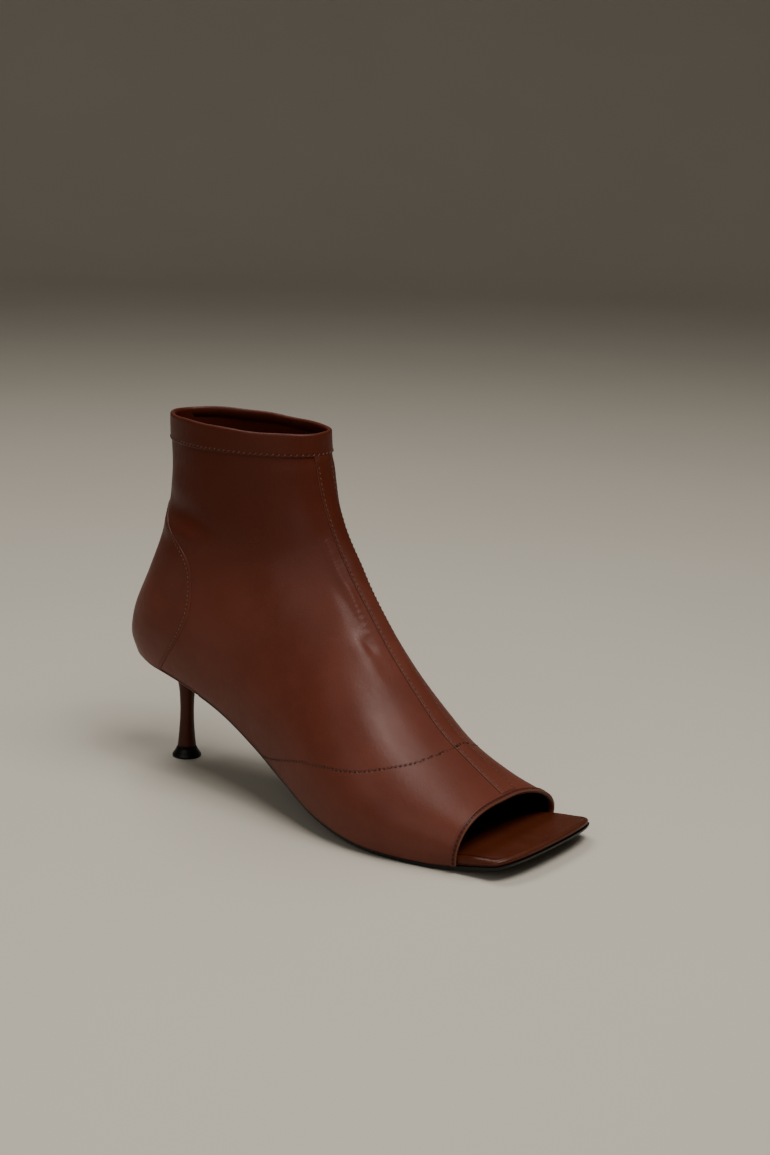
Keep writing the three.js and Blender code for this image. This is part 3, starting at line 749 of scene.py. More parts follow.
@dataclass(frozen=True)
class ThreadFinish:
    """Twisted sewing thread."""

    name: str
    colour: Colour

    def material(self) -> bpy.types.Material:
        """Builds the material."""
        shader = Shader(self.name)
        twist = shader.noise(0.0004, detail=1.0)
        dark = tuple(0.55 * part for part in self.colour)
        tone = shader.blend(twist.eased(0.3, 0.7), dark, self.colour)
        return shader.finish(tone, 0.62, twist * 0.05)


@dataclass(frozen=True)
class PlasterFinish:
    """Plain pale floor and wall."""

    name: str
    floor: Colour = (0.55, 0.515, 0.45)
    stain: Colour = (0.3, 0.28, 0.25)
    roughness: float = 0.6

    def material(self) -> bpy.types.Material:
        """Builds the material."""
        shader = Shader(self.name)
        cloud = shader.noise(0.25, detail=3.0)
        tone = shader.blend(cloud.eased(0.3, 0.7) * 0.06, self.floor, self.stain)
        return shader.finish(tone, self.roughness)


Finish = LeatherFinish | LiningFinish | RubberFinish | ThreadFinish


def placed(name: str, data: bpy.types.ID) -> bpy.types.Object:
    """Makes an object of its data and puts it in the scene."""
    made = bpy.data.objects.new(name, data)
    bpy.context.scene.collection.objects.link(made)
    return made


@dataclass
class Mesh:
    """Points, faces and marks of a piece, in the last's own millimetres."""

    points: np.ndarray
    faces: list[np.ndarray]
    marks: dict[str, np.ndarray] = field(default_factory=dict)

    def loops(self) -> tuple[np.ndarray, np.ndarray]:
        """All face corners in one row, and the number of corners of each face."""
        flat = np.concatenate([part.ravel() for part in self.faces])
        sizes = np.concatenate([np.full(len(part), part.shape[1]) for part in self.faces])
        return flat, sizes

    def volume(self) -> float:
        """Signed volume, from a fan of each face."""
        total = 0.0
        for part in self.faces:
            corner = self.points[part]
            for k in range(1, part.shape[1] - 1):
                normal = np.cross(corner[:, k], corner[:, k + 1])
                total += float((corner[:, 0] * normal).sum()) / 6
        return total

    def object(self, name: str, shift: np.ndarray) -> bpy.types.Object:
        """Makes the Blender object, with its faces turned outward.

        Args:
            name: The piece's name.
            shift: Move from the last's millimetres to the frame's.

        Returns:
            The object, at the origin.
        """
        if self.volume() < 0:
            self.faces = [part[:, ::-1] for part in self.faces]
        flat, sizes = self.loops()
        mesh = bpy.data.meshes.new(name)
        mesh.vertices.add(len(self.points))
        mesh.vertices.foreach_set("co", ((self.points + shift) * MM).astype(np.float32).ravel())
        mesh.loops.add(len(flat))
        mesh.loops.foreach_set("vertex_index", flat.astype(np.int32))
        mesh.polygons.add(len(sizes))
        starts = np.concatenate([[0], np.cumsum(sizes)[:-1]]).astype(np.int32)
        mesh.polygons.foreach_set("loop_start", starts)
        mesh.polygons.foreach_set("use_smooth", np.ones(len(sizes), dtype=bool))
        mesh.update(calc_edges=True)
        for key, values in self.marks.items():
            mark = mesh.attributes.new(key, "FLOAT", "POINT")
            mark.data.foreach_set("value", values.astype(np.float32))
        mesh.validate()
        return placed(name, mesh)

    def mark_seam(self, line: np.ndarray) -> None:
        """Marks each point's distance to a seam and the run along it."""
        self.marks["seam_gap"], self.marks["seam_run"] = gaps_and_runs(self.points, line)

    def piece(
        self, name: str, shift: np.ndarray, slot: str, finishes: list[Finish], *nodes: str
    ) -> bpy.types.Object:
        """Makes a finished piece: its object, materials, body and replaced nodes.

        Args:
            name: The piece's name.
            shift: Move from the last's millimetres to the frame's.
            slot: The record's material slot, which is not used.
            finishes: Its finishes, in the order of the faces' numbers.
            nodes: The CAD nodes that it replaces.

        Returns:
            The piece.
        """
        piece = self.object(name, shift)
        for finish in finishes:
            piece.data.materials.append(finish.material())
        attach(piece, "root")
        if nodes:
            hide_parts(*nodes)
        log.info("%s: %d points, %d faces", name, len(self.points), len(piece.data.polygons))
        return piece


def split_faces(quads: np.ndarray) -> list[np.ndarray]:
    """Parts quads whose corners meet from whole ones, and drops what has no area.

    Args:
        quads: Four vertex numbers a row.

    Returns:
        The whole quads, and triangles from the others.
    """
    rolled = np.roll(quads, -1, axis=1)
    same = quads == rolled
    whole = quads[~same.any(1)]
    parts = [whole]
    for k in range(4):
        chosen = same[:, k] & (same.sum(1) == 1)
        if chosen.any():
            parts.append(np.delete(quads[chosen], k, axis=1))
    return [part for part in parts if len(part)]


def grid_quads(ids: np.ndarray) -> np.ndarray:
    """Quads between neighbours in a grid of vertex numbers."""
    corners = (ids[:-1, :-1], ids[:-1, 1:], ids[1:, 1:], ids[1:, :-1])
    return np.stack([corner.ravel() for corner in corners], axis=1)


def open_edges(faces: list[np.ndarray]) -> np.ndarray:
    """Directed edges that only one face has."""
    pairs = np.concatenate(
        [np.stack([part, np.roll(part, -1, axis=1)], axis=-1).reshape(-1, 2) for part in faces]
    )
    size = pairs.max() + 1
    codes = pairs[:, 0] * size + pairs[:, 1]
    back = pairs[:, 1] * size + pairs[:, 0]
    return pairs[~np.isin(codes, back)]


def shell(outer: np.ndarray, inner: np.ndarray, quads: np.ndarray) -> Mesh:
    """Closes two sheets that share one grid, along every open edge.

    Args:
        outer: Points of the outer sheet.
        inner: Points of the inner sheet, in the same order.
        quads: The grid's faces.

    Returns:
        One closed mesh, the outer sheet's points first.
    """
    count = len(outer)
    faces = split_faces(quads)
    rim = open_edges(faces)
    walls = np.stack([rim[:, 1], rim[:, 0], rim[:, 0] + count, rim[:, 1] + count], axis=1)
    inside = [part[:, ::-1] + count for part in faces]
    return Mesh(np.concatenate([outer, inner]), [*faces, *inside, walls])


def tube(points: np.ndarray, closed_ends: bool) -> Mesh:
    """Skins rows of a section that closes on itself.

    Args:
        points: Rows along the piece, each a ring of points.
        closed_ends: Whether each end gets a fan of triangles; otherwise the rows close too.

    Returns:
        The closed mesh.
    """
    rows, around = points.shape[:2]
    ids = np.arange(rows * around).reshape(rows, around)
    ids = np.concatenate([ids, ids[:, :1]], axis=1)
    if not closed_ends:
        ids = np.concatenate([ids, ids[:1]], axis=0)
        return Mesh(points.reshape(-1, 3), [grid_quads(ids)])
    flat = points.reshape(-1, 3)
    centres = points[[0, -1]].mean(axis=1)
    first, second = len(flat), len(flat) + 1
    start = np.stack([ids[0, 1:], ids[0, :-1], np.full(around, first)], axis=1)
    stop = np.stack([ids[-1, :-1], ids[-1, 1:], np.full(around, second)], axis=1)
    return Mesh(np.concatenate([flat, centres]), [grid_quads(ids), start, stop])


def distinct(line: np.ndarray) -> np.ndarray:
    """Leaves out the points of a line that repeat the one before."""
    steps = np.linalg.norm(np.diff(line, axis=0), axis=1)
    return line[np.concatenate([[True], steps > 1e-6])]


def gaps_and_runs(points: np.ndarray, line: np.ndarray) -> tuple[np.ndarray, np.ndarray]:
    """Distance to a line and the run along it, for many points.

    Args:
        points: The points, in a flat list.
        line: Points of the line, close together.

    Returns:
        The distances, and the runs of the nearest places.
    """
    margin, beyond, chunk_size = 6.0, 99.0, 4000
    steps = np.diff(line, axis=0)
    lengths = np.linalg.norm(steps, axis=1)
    starts = runs_along(line)[:-1]
    gaps = np.full(len(points), beyond)
    runs = np.zeros(len(points))
    inside = (points > line.min(0) - margin) & (points < line.max(0) + margin)
    near = np.flatnonzero(inside.all(1))
    for chunk in np.array_split(near, max(1, len(near) // chunk_size)):
        offset = points[chunk, None] - line[None, :-1]
        share = (offset * steps).sum(-1) / lengths**2
        share = np.clip(share, 0, 1)
        distance = np.linalg.norm(offset - share[..., None] * steps, axis=-1)
        best = distance.argmin(1)
        rows = np.arange(len(chunk))
        gaps[chunk] = distance[rows, best]
        runs[chunk] = starts[best] + share[rows, best] * lengths[best]
    return gaps, runs


@dataclass(frozen=True)
class Stitches:
    """A row of short threads that dip into the leather at both ends."""

    name: str
    finish: ThreadFinish
    slot: str
    pitch: float = 2.3
    share: float = 0.72
    radius: float = 0.21
    slant: float = 0.0
    proud: float = 0.10
    sunk: float = 0.28

    def piece(
        self, line: np.ndarray, normals: np.ndarray, shift: np.ndarray
    ) -> bpy.types.Object:
        """Makes all the threads of a line as one mesh.

        Each thread is a bent capsule: a ring carried along an arc whose ends are sunk.

        Args:
            line: Places of the seam, close together.
            normals: Outward directions there.
            shift: Move from the last's millimetres to the frame's.

        Returns:
            The joined threads.
        """
        runs = runs_along(line)
        count = int(runs[-1] / self.pitch)
        middle = (np.arange(count) + 0.5) * self.pitch
        step = 0.3
        centre = at_runs(line, runs, middle)
        up = unit(at_runs(normals, runs, middle))
        ahead = unit(at_runs(line, runs, middle + step) - at_runs(line, runs, middle - step))
        across = np.cross(up, ahead)
        ahead = ahead * math.cos(self.slant) + across * math.sin(self.slant)
        across = np.cross(up, ahead)
        stations = np.linspace(-1, 1, 7)
        ring = np.linspace(0, 2 * np.pi, 7)[:-1]
        half = self.pitch * self.share / 2
        bow = self.proud - (self.proud + self.sunk) * np.abs(stations) ** 2.5
        girth = self.radius * np.sqrt(np.maximum(0.05, 1 - np.abs(stations) ** 6))
        spine = (
            centre[:, None]
            + ahead[:, None] * (half * stations)[None, :, None]
            + up[:, None] * bow[None, :, None]
        )
        turned = (
            across[:, None, None] * np.cos(ring)[None, None, :, None]
            + up[:, None, None] * np.sin(ring)[None, None, :, None]
        )
        points = spine[:, :, None] + turned * girth[None, :, None, None]
        ids = np.arange(points[..., 0].size).reshape(points.shape[:3])
        ids = np.concatenate([ids, ids[:, :, :1]], axis=2)
        corners = (ids[:, :-1, :-1], ids[:, :-1, 1:], ids[:, 1:, 1:], ids[:, 1:, :-1])
        quads = np.stack([corner.ravel() for corner in corners], axis=1)
        caps = np.concatenate([ids[:, 0, -2::-1], ids[:, -1, :-1]])
        mesh = Mesh(points.reshape(-1, 3), [quads, caps])
        return mesh.piece(self.name, shift, self.slot, [self.finish])


RAW_EDGE: Colour = (0.135, 0.057, 0.034)
STRIP_EDGE: Colour = (0.115, 0.034, 0.018)
TAN_THREAD = ThreadFinish("tan_thread", (0.135, 0.050, 0.027))
PALE_THREAD = ThreadFinish("pale_thread", (0.22, 0.090, 0.050))
DARK_THREAD = ThreadFinish("dark_thread", (0.024, 0.005, 0.003))


@dataclass
class Upper:
    """Shell of vamp, quarters and shaft, with its closed seam across the vamp."""

    leather: Leather
    wall: float = 1.6
    rows_per_slice: int = 13
    columns: int = 200
    front_trim: float = 0.05
    collar_trim: float = 0.08
    pitch: float = 2.3
    vamp_seam: tuple[Spot, ...] = (
        (5.7, -1.0), (4.8, -0.825), (4.15, -0.738), (2.95, -0.613), (2.1, -0.425),
        (1.78, -0.238), (1.7, -0.08), (1.7, 0.08), (1.78, 0.24), (2.1, 0.425),
        (2.95, 0.613), (4.15, 0.738), (4.8, 0.825), (5.7, 1.0),
    )

    def rows(self) -> np.ndarray:
        """Slices of the grid's rows, closer together where they turn round the heel."""
        turn, last = self.leather.last.turn, self.leather.last.last
        per = self.rows_per_slice
        ahead = np.linspace(self.front_trim, turn - 1, per * (turn - 1))
        heel = turn - np.linspace(1, 0, per)[1:] ** 2
        shaft = np.linspace(turn, last - self.collar_trim, per * (last - turn))[1:]
        return np.concatenate([ahead, heel, shaft])

    def seam_line(self, count: int = 500) -> tuple[np.ndarray, np.ndarray]:
        """Places and outward directions along the vamp seam."""
        at = np.linspace(0, len(self.vamp_seam) - 1, count)
        spots = spline(np.array(self.vamp_seam), at)
        return self.leather.line(spots[:, 0], np.clip(spots[:, 1:], -1, 1))

    def build(self) -> bpy.types.Object:
        """Makes the shell: the creased face, and the plain face a wall further in."""
        last = self.leather.last
        s = self.rows()
        t = np.tile(np.linspace(-1, 1, self.columns + 1), (len(s), 1))
        outer, normals = self.leather.face(s, t)
        inner = last.surface(s, t) - normals * self.wall
        ids = np.arange(outer[..., 0].size).reshape(outer.shape[:2])
        closed = s >= last.turn
        ids[closed, -1] = ids[closed, 0]
        used, compact = np.unique(ids, return_inverse=True)
        quads = grid_quads(compact.reshape(ids.shape))
        outer, inner = outer.reshape(-1, 3)[used], inner.reshape(-1, 3)[used]
        mesh = shell(outer, inner, quads)
        mesh.mark_seam(self.seam_line()[0])
        # Where the lining turns to painted shade, inside the toe.
        mesh.marks["lining_toe_painted_shade"] = ease(mesh.points[:, 0], 110, 150)
        inside = np.concatenate(
            [(part >= len(outer)).all(1).astype(np.int32) for part in mesh.faces]
        )
        finishes = [LeatherFinish("upper_leather", seam=Seam.CLOSED, pitch=self.pitch), LiningFinish()]
        piece = mesh.piece("upper_leather", self.leather.shift, "upper_leather", finishes, "upper")
        piece.data.polygons.foreach_set("material_index", inside)
        return piece

    def raised_seam(self, strip: float, lift: float) -> tuple[np.ndarray, np.ndarray]:
        """Seam line that climbs over the front strip.

        Args:
            strip: Half width of the strip.
            lift: Height of the strip's face above the upper.

        Returns:
            Places and outward directions along the line.
        """
        line, normals = self.seam_line()
        middle = line[len(line) // 2]
        away = np.linalg.norm(line - middle, axis=1)[:, None]
        return line + normals * lift * (1 - ease(away, strip - 0.3, strip + 0.5)), normals

    def stitches(self, strip: float, lift: float) -> bpy.types.Object:
        """Threads of the vamp seam, which cross the front strip."""
        line, normals = self.raised_seam(strip, lift)
        sizes = {"pitch": self.pitch, "share": 0.62, "radius": 0.22, "proud": 0.04}
        row = Stitches("vamp_stitches", DARK_THREAD, "upper_leather", **sizes)
        return row.piece(line, normals, self.leather.shift)


@dataclass
class CollarBand:
    """Band folded over the top of the shaft."""

    leather: Leather
    height: float = 13.5
    columns: int = 360
    lift: float = 0.55
    rim: float = 1.15
    inside: float = 5.0
    pitch: float = 2.8
    seam_rise: float = 1.5

    def profile(self) -> np.ndarray:
        """Section of the band: slice, lift and rise of each point.

        It runs up the outside, over the rim as a half circle, down the inside and back.
        """
        start = self.leather.slice_at_height(self.leather.last.shaft_height - self.height)
        top = float(self.leather.last.last)
        below = np.array([0.0, 0.004, 0.012, 0.03])
        edge = np.stack([start + below, self.lift * np.sqrt(below / 0.03), 0 * below], axis=1)
        up = np.linspace(start + 0.08, top, 12)
        outside = np.stack([up, np.full(12, self.lift), np.linspace(0, -self.rim, 12)], axis=1)
        arc = np.linspace(0, np.pi, 11)[1:-1]
        centre = self.lift - self.rim
        over = np.stack(
            [np.full(9, top), centre + self.rim * np.cos(arc), self.rim * (np.sin(arc) - 1)], axis=1
        )
        inner = self.lift - 2 * self.rim
        down = [(top, inner, -self.rim), (top, inner, -self.inside), (top, inner + 0.5, -self.inside)]
        back = [(top - 0.1, 0.0, -self.rim), (start + 0.1, -0.3, 0.0), (start, -0.3, 0.0)]
        return np.concatenate([edge, outside, over, down, back])

    def build(self) -> bpy.types.Object:
        """Carries the section round the collar."""
        profile = self.profile()
        t = np.linspace(-1, 1, self.columns + 1)[:-1]
        sheet = self.leather.place(profile[:, 0], np.tile(t, (len(profile), 1)), profile[:, 1:2])
        sheet[..., 2] += profile[:, 2:3]
        high = ease(profile[:, 0:1], profile[0, 0], self.leather.last.last)
        sheet[..., 2] += high * (0.22 * np.sin(3 * np.pi * t + 1) + 0.14 * np.sin(8 * np.pi * t))
        mesh = tube(np.swapaxes(sheet, 0, 1), closed_ends=False)
        mesh.mark_seam(self.seam_line()[0])
        finish = LeatherFinish("collar_leather", seam=Seam.TOPSTITCHED, pitch=self.pitch)
        place = ("collar_band_leather", self.leather.shift, "trim_leather")
        return mesh.piece(*place, [finish], "collar_band")

    def seam_line(self, count: int = 500) -> tuple[np.ndarray, np.ndarray]:
        """Places and outward directions along the stitching above the band's edge."""
        height = self.leather.last.shaft_height - self.height + self.seam_rise
        s = np.full(count, self.leather.slice_at_height(height))
        return self.leather.line(s, np.linspace(-1, 1, count)[:, None], self.lift)

    def stitches(self) -> bpy.types.Object:
        """Threads above the band's lower edge."""
        line, normals = self.seam_line()
        sizes = {"pitch": self.pitch, "share": 0.64, "radius": 0.28, "slant": 0.75}
        row = Stitches("collar_stitches", TAN_THREAD, "trim_leather", **sizes)
        return row.piece(line, normals, self.leather.shift)


@dataclass
class FrontStrip:
    """Narrow strip down the front, from the collar band to the toe binding."""

    leather: Leather
    width: float = 11.0
    lift: float = 0.6
    edge: float = 1.1
    knot: float = 0.7
    rows: int = 420
    pitch: float = 2.5
    corner: float = 0.6
    sunk: float = 0.3

    def ends(self) -> tuple[float, float]:
        """First and last slice of the strip."""
        start = self.leather.slice_at_run(2.6)
        stop = self.leather.slice_at_height(self.leather.last.shaft_height - 13.2)
        return start, stop

    def spots(self, s: np.ndarray, offsets: np.ndarray) -> np.ndarray:
        """Girth shares of distances from the ridge, the outer side below zero."""
        last = self.leather.last
        sides = np.where(
            offsets[None, :] < 0, last.girth(s, -1)[:, None], last.girth(s, 1)[:, None]
        )
        return offsets[None, :] / sides

    def build(self, crossing: tuple[np.ndarray, np.ndarray]) -> bpy.types.Object:
        """Carries a flat section with rounded edges down the front.

        Args:
            crossing: Places and directions along the vamp seam, which crosses the strip.

        Returns:
            The strip.
        """
        s = np.linspace(*self.ends(), self.rows)
        half = self.width / 2
        steps = np.array([0.0, 0.06, 0.25, 0.55, 1.0])
        flat = half - self.corner
        rounded = half - self.corner * steps
        heights = self.lift * np.sqrt(1 - (1 - steps) ** 2)
        middle = np.linspace(flat, -flat, 9)[1:-1]
        offsets = np.concatenate([rounded, middle, -rounded[::-1], [-flat, flat]])
        crown = self.lift + 0.12 * (1 - (middle / half) ** 2)
        section = np.concatenate([heights, crown, heights[::-1], [-self.sunk, -self.sunk]])
        ridge = self.leather.last.surface(s, np.zeros((len(s), 1)))[:, 0]
        left = np.linalg.norm(ridge - ridge[-1], axis=1)[:, None]
        bulge = 1 + self.knot * np.exp(-0.5 * ((left - 2.5) / 1.6) ** 2)
        lifts = np.where(section > 0, section * bulge, section)
        points = self.leather.place(s, self.spots(s, offsets), lifts)
        mesh = tube(points, closed_ends=True)
        runs = runs_along(points[:, len(offsets) // 2 - 1])
        across = np.abs(np.abs(offsets) - (half - self.edge))
        across[-2:] = OFF_SEAM
        gap = np.concatenate([np.tile(across, self.rows), [OFF_SEAM, OFF_SEAM]])
        run = np.concatenate([np.repeat(runs, len(offsets)), [0.0, 0.0]])
        other, beside = gaps_and_runs(mesh.points, crossing[0])
        run = np.where(other < gap, beside, run)
        gap = np.minimum(gap, other)
        low = heights < 0.75 * self.lift
        raw = np.concatenate([low, 0 * middle, low[::-1], [0, 0]]) * 0.9
        mesh.marks = {
            "seam_gap": gap,
            "seam_run": run,
            "raw_edge": np.concatenate([np.tile(raw, self.rows), [0.0, 0.0]]),
        }
        finish = LeatherFinish(
            "strip_leather", seam=Seam.TOPSTITCHED, pitch=self.pitch, raw_edge=STRIP_EDGE
        )
        place = ("front_strip_leather", self.leather.shift, "trim_leather")
        return mesh.piece(*place, [finish], "front_strip")

    def stitches(self) -> list[bpy.types.Object]:
        """Threads along both edges."""
        start, stop = self.ends()
        s = np.linspace(start + 0.05, stop - 0.05, 700)
        made = []
        for side, name in ((-1, "outer"), (1, "inner")):
            t = self.spots(s, np.array([side * (self.width / 2 - self.edge)]))
            line, normals = self.leather.line(s, t, self.lift + 0.03)
            sizes = {"pitch": self.pitch, "share": 0.6, "radius": 0.25}
            row = Stitches(f"strip_stitches_{name}", TAN_THREAD, "trim_leather", **sizes)
            made.append(row.piece(line, normals, self.leather.shift))
        return made


@dataclass
class ToeBinding:
    """Turned edge round the toe opening, with the leather's cut edge showing at its rim."""

    leather: Leather
    width: float = 3.0
    seam_run: float = 1.35
    seam_lift: float = 0.22
    columns: int = 320
    pitch: float = 2.1

    def profile(self) -> np.ndarray:
        """Section of the binding: run behind the opening, lift and raw edge of each point."""
        rows = (
            (2.9, 0.02, 0), (2.8, 0.3, 0), (2.5, 0.46, 0), (2.1, 0.44, 0), (1.7, 0.28, 0),
            (1.35, 0.2, 0), (1.0, 0.27, 0), (0.6, 0.36, 0), (0.25, 0.3, 0.5), (0.0, 0.05, 1),
            (-0.08, -0.35, 0.4), (-0.05, -0.9, 0), (0.1, -1.35, 0), (0.5, -1.6, 0),
            (1.4, -1.75, 0), (2.6, -1.75, 0), (2.6, -0.6, 0),
        )
        return np.array(rows)

    def build(self) -> bpy.types.Object:
        """Carries the section round the opening."""
        profile = self.profile()
        s = profile[:, 0] * self.leather.slice_at_run(self.width) / self.width
        t = np.linspace(-1, 1, self.columns + 1)
        grid = np.tile(t, (len(profile), 1))
        sheet = self.leather.place(np.maximum(s, 0), grid, profile[:, 1:2])
        ahead = self.leather.place(np.array([0.0]), t[None], 0.0)
        behind = self.leather.place(np.array([0.1]), t[None], 0.0)
        sheet += unit(ahead - behind) * np.maximum(0, -profile[:, 0])[:, None, None]
        mesh = tube(np.swapaxes(sheet, 0, 1), closed_ends=True)
        mesh.mark_seam(self.seam_line()[0])
        inside = np.concatenate([np.tile(profile[:, 1] < -0.4, self.columns + 1), [True, True]])
        mesh.marks["seam_gap"][inside] = OFF_SEAM
        raw = np.tile(profile[:, 2], self.columns + 1)
        mesh.marks["raw_edge"] = np.concatenate([raw, [0.0, 0.0]])
        finish = LeatherFinish(
            "binding_leather", seam=Seam.CLOSED, pitch=self.pitch, raw_edge=RAW_EDGE
        )
        place = ("toe_binding_leather", self.leather.shift, "raw_edge")
        return mesh.piece(*place, [finish], "toe_binding")

    def seam_line(self, count: int = 400) -> tuple[np.ndarray, np.ndarray]:
        """Places and outward directions along the stitching behind the rim."""
        s = np.full(count, self.leather.slice_at_run(self.seam_run))
        return self.leather.line(s, np.linspace(-0.99, 0.99, count)[:, None], self.seam_lift)

    def stitches(self) -> bpy.types.Object:
        """Dark threads behind the rim."""
        line, normals = self.seam_line()
        sizes = {"pitch": self.pitch, "share": 0.62, "radius": 0.17, "proud": 0.0}
        row = Stitches("toe_stitches", DARK_THREAD, "raw_edge", **sizes)
        return row.piece(line, normals, self.leather.shift)


@dataclass
class HeelCounter:
    """Patch round the back of the heel, laid onto the upper's finished face."""

    leather: Leather
    middle: float = 97.0
    up: float = 36.0
    down: float = 70.0
    turn: float = math.radians(136)
    crown: float = 2.7
    base: float = 2.0
    ankle: float = 0.13
    reach: float = 36.0
    lift: float = 0.5
    round_edge: float = 0.9
    seam_inset: float = 1.5
    clearance: float = 0.3
    pitch: float = 2.2
    start_radius: float = 70.0
    sunk: float = 0.4
    rows: int = 110
    columns: int = 170
    sheet: np.ndarray = field(default_factory=lambda: np.zeros((0, 0, 3)))

    def feather(self, heading: np.ndarray) -> np.ndarray:
        """Height of the upper's lower edge at directions from the ankle's axis."""
        last = self.leather.last
        s = np.linspace(5, last.turn - 0.001, 80)
        edge = np.concatenate([last.surface(s, np.full((80, 1), side))[:, 0] for side in (-1, 1)])
        turned = np.arctan2(edge[:, 1], self.ankle * last.upper_length - edge[:, 0])
        order = np.argsort(turned)
        return np.interp(heading, turned[order], edge[order, 2])

    def limits(self, heading: np.ndarray, inset: float = 0.0) -> tuple[np.ndarray, np.ndarray]:
        """Lowest and highest place of the patch at directions from the ankle's axis.

        The outline is a power curve, crown above its middle and base below it.

        Args:
            heading: The directions, 0 straight back.
            inset: How far the outline is drawn in.

        Returns:
            Both heights, before the upper's lower edge cuts the patch off.
        """
        share = np.minimum(1, np.abs(heading) / (self.turn - inset / self.reach))
        top = (self.up - inset) * (1 - share**self.crown) ** (1 / self.crown)
        low = (self.down - inset) * (1 - share**self.base) ** (1 / self.base)
        return self.middle - low, self.middle + top

    def laid(self, heading: np.ndarray, height: np.ndarray, body: bpy.types.Object) -> np.ndarray:
        """Lays a sheet onto the upper, straight toward the ankle's axis.

        The sheet starts as a wide tube round the axis and is wrapped onto the upper.

        Args:
            heading: Directions from the axis, 0 straight back, in rows and columns.
            height: Heights above the floor.
            body: The upper's piece.

        Returns:
            Places on its outer face, in the last's millimetres.
        """
        away = np.stack([-np.cos(heading), np.sin(heading), 0 * heading], axis=-1)
        points = away * self.start_radius
        points[..., 0] += self.ankle * self.leather.last.upper_length
        points[..., 2] = height
        ids = np.arange(height.size).reshape(height.shape)
        start = Mesh((points + self.leather.shift).reshape(-1, 3), [grid_quads(ids)])
        sheet = start.object("sheet", np.zeros(3))
        wrap = sheet.modifiers.new("wrap", "SHRINKWRAP")
        wrap.target = body
        wrap.wrap_method = "PROJECT"
        wrap.use_negative_direction = True
        wrap.use_positive_direction = True
        wrapped = sheet.evaluated_get(bpy.context.evaluated_depsgraph_get())
        flat = np.empty(height.size * 3)
        wrapped.data.vertices.foreach_get("co", flat)
        bpy.data.meshes.remove(sheet.data)
        return flat.reshape(points.shape) / MM - self.leather.shift

    def grid(self) -> tuple[np.ndarray, np.ndarray, np.ndarray, np.ndarray]:
        """Directions of the sheet's columns, shares of its rows, lower edge, upper edge."""
        around = self.turn * 0.997 * np.sin(1.5 * np.linspace(-1, 1, self.columns)) / math.sin(1.5)
        share = (1 + np.sin(1.45 * np.linspace(-1, 1, self.rows)) / math.sin(1.45)) / 2
        low, high = self.limits(around)
        return around, share, np.maximum(low, self.feather(around) + self.clearance), high

    def on_sheet(self, heading: np.ndarray, height: np.ndarray) -> np.ndarray:
        """Places on the laid sheet at given directions and heights, evenly between its points."""
        around, share, low, high = self.grid()
        column = np.interp(heading, around, np.arange(self.columns))
        bottom, top = np.interp(heading, around, low), np.interp(heading, around, high)
        row = np.interp((height - bottom) / (top - bottom), share, np.arange(self.rows))
        i = np.clip(row.astype(int), 0, self.rows - 2)
        j = np.clip(column.astype(int), 0, self.columns - 2)
        u, v = (row - i)[:, None], (column - j)[:, None]
        near = self.sheet[i, j] * (1 - v) + self.sheet[i, j + 1] * v
        far = self.sheet[i + 1, j] * (1 - v) + self.sheet[i + 1, j + 1] * v
        return near * (1 - u) + far * u

    def build(self, body: bpy.types.Object) -> bpy.types.Object:
        """Makes the patch, whose edge rounds down onto the upper."""
        around, share, low, high = self.grid()
        cut = self.limits(around)[0] < low
        height = low + (high - low) * share[:, None]
        heading = np.broadcast_to(around, height.shape)
        face = self.laid(heading, height, body)
        self.sheet = face
        normals = unit(np.cross(np.gradient(face, axis=1), np.gradient(face, axis=0)))
        if (normals[:, self.columns // 2, 0] > 0).mean() > 0.5:
            normals = -normals
        sides = np.flatnonzero(cut)
        rim = [face[0, : sides[0] + 1][::-1], face[-1], face[0, sides[-1] :][::-1]]
        inset, _ = gaps_and_runs(face.reshape(-1, 3), distinct(np.concatenate(rim)))
        share = np.clip(inset / self.round_edge, 0, 1).reshape(height.shape)
        lift = self.lift * np.sqrt(1 - (1 - share) ** 2)
        outer = face + normals * lift[..., None]
        inner = face - normals * self.sunk
        ids = np.arange(self.rows * self.columns).reshape(self.rows, self.columns)
        mesh = shell(outer.reshape(-1, 3), inner.reshape(-1, 3), grid_quads(ids))
        mesh.mark_seam(self.seam_line()[0])
        finish = LeatherFinish("counter_leather", seam=Seam.TOPSTITCHED, pitch=self.pitch)
        place = ("heel_counter_leather", self.leather.shift, "trim_leather")
        return mesh.piece(*place, [finish], "heel_counter")

    def seam_line(self, count: int = 400) -> tuple[np.ndarray, np.ndarray]:
        """Places and outward directions along the stitching inside the patch's outline."""
        angle = np.linspace(-np.pi / 2, 3 * np.pi / 2, count)
        power = np.where(np.sin(angle) < 0, self.base, self.crown)
        side = np.sign(np.cos(angle)) * np.abs(np.cos(angle)) ** (2 / power)
        heading = side * (self.turn - self.seam_inset / self.reach)
        low, high = self.limits(heading, self.seam_inset)
        height = np.where(np.sin(angle) < 0, low, high)
        kept = height > self.feather(heading) + 1.0
        line = self.on_sheet(heading[kept], height[kept])
        outward = line - np.array([self.ankle * self.leather.last.upper_length, 0.0, 0.0])
        outward[:, 2] = 0
        return line + unit(outward) * self.lift, unit(outward)

    def stitches(self) -> bpy.types.Object:
        """Threads inside the patch's outline."""
        line, normals = self.seam_line()
        sizes = {"pitch": self.pitch, "share": 0.6, "radius": 0.3}
        row = Stitches("counter_stitches", PALE_THREAD, "trim_leather", **sizes)
        return row.piece(line, normals, self.leather.shift)


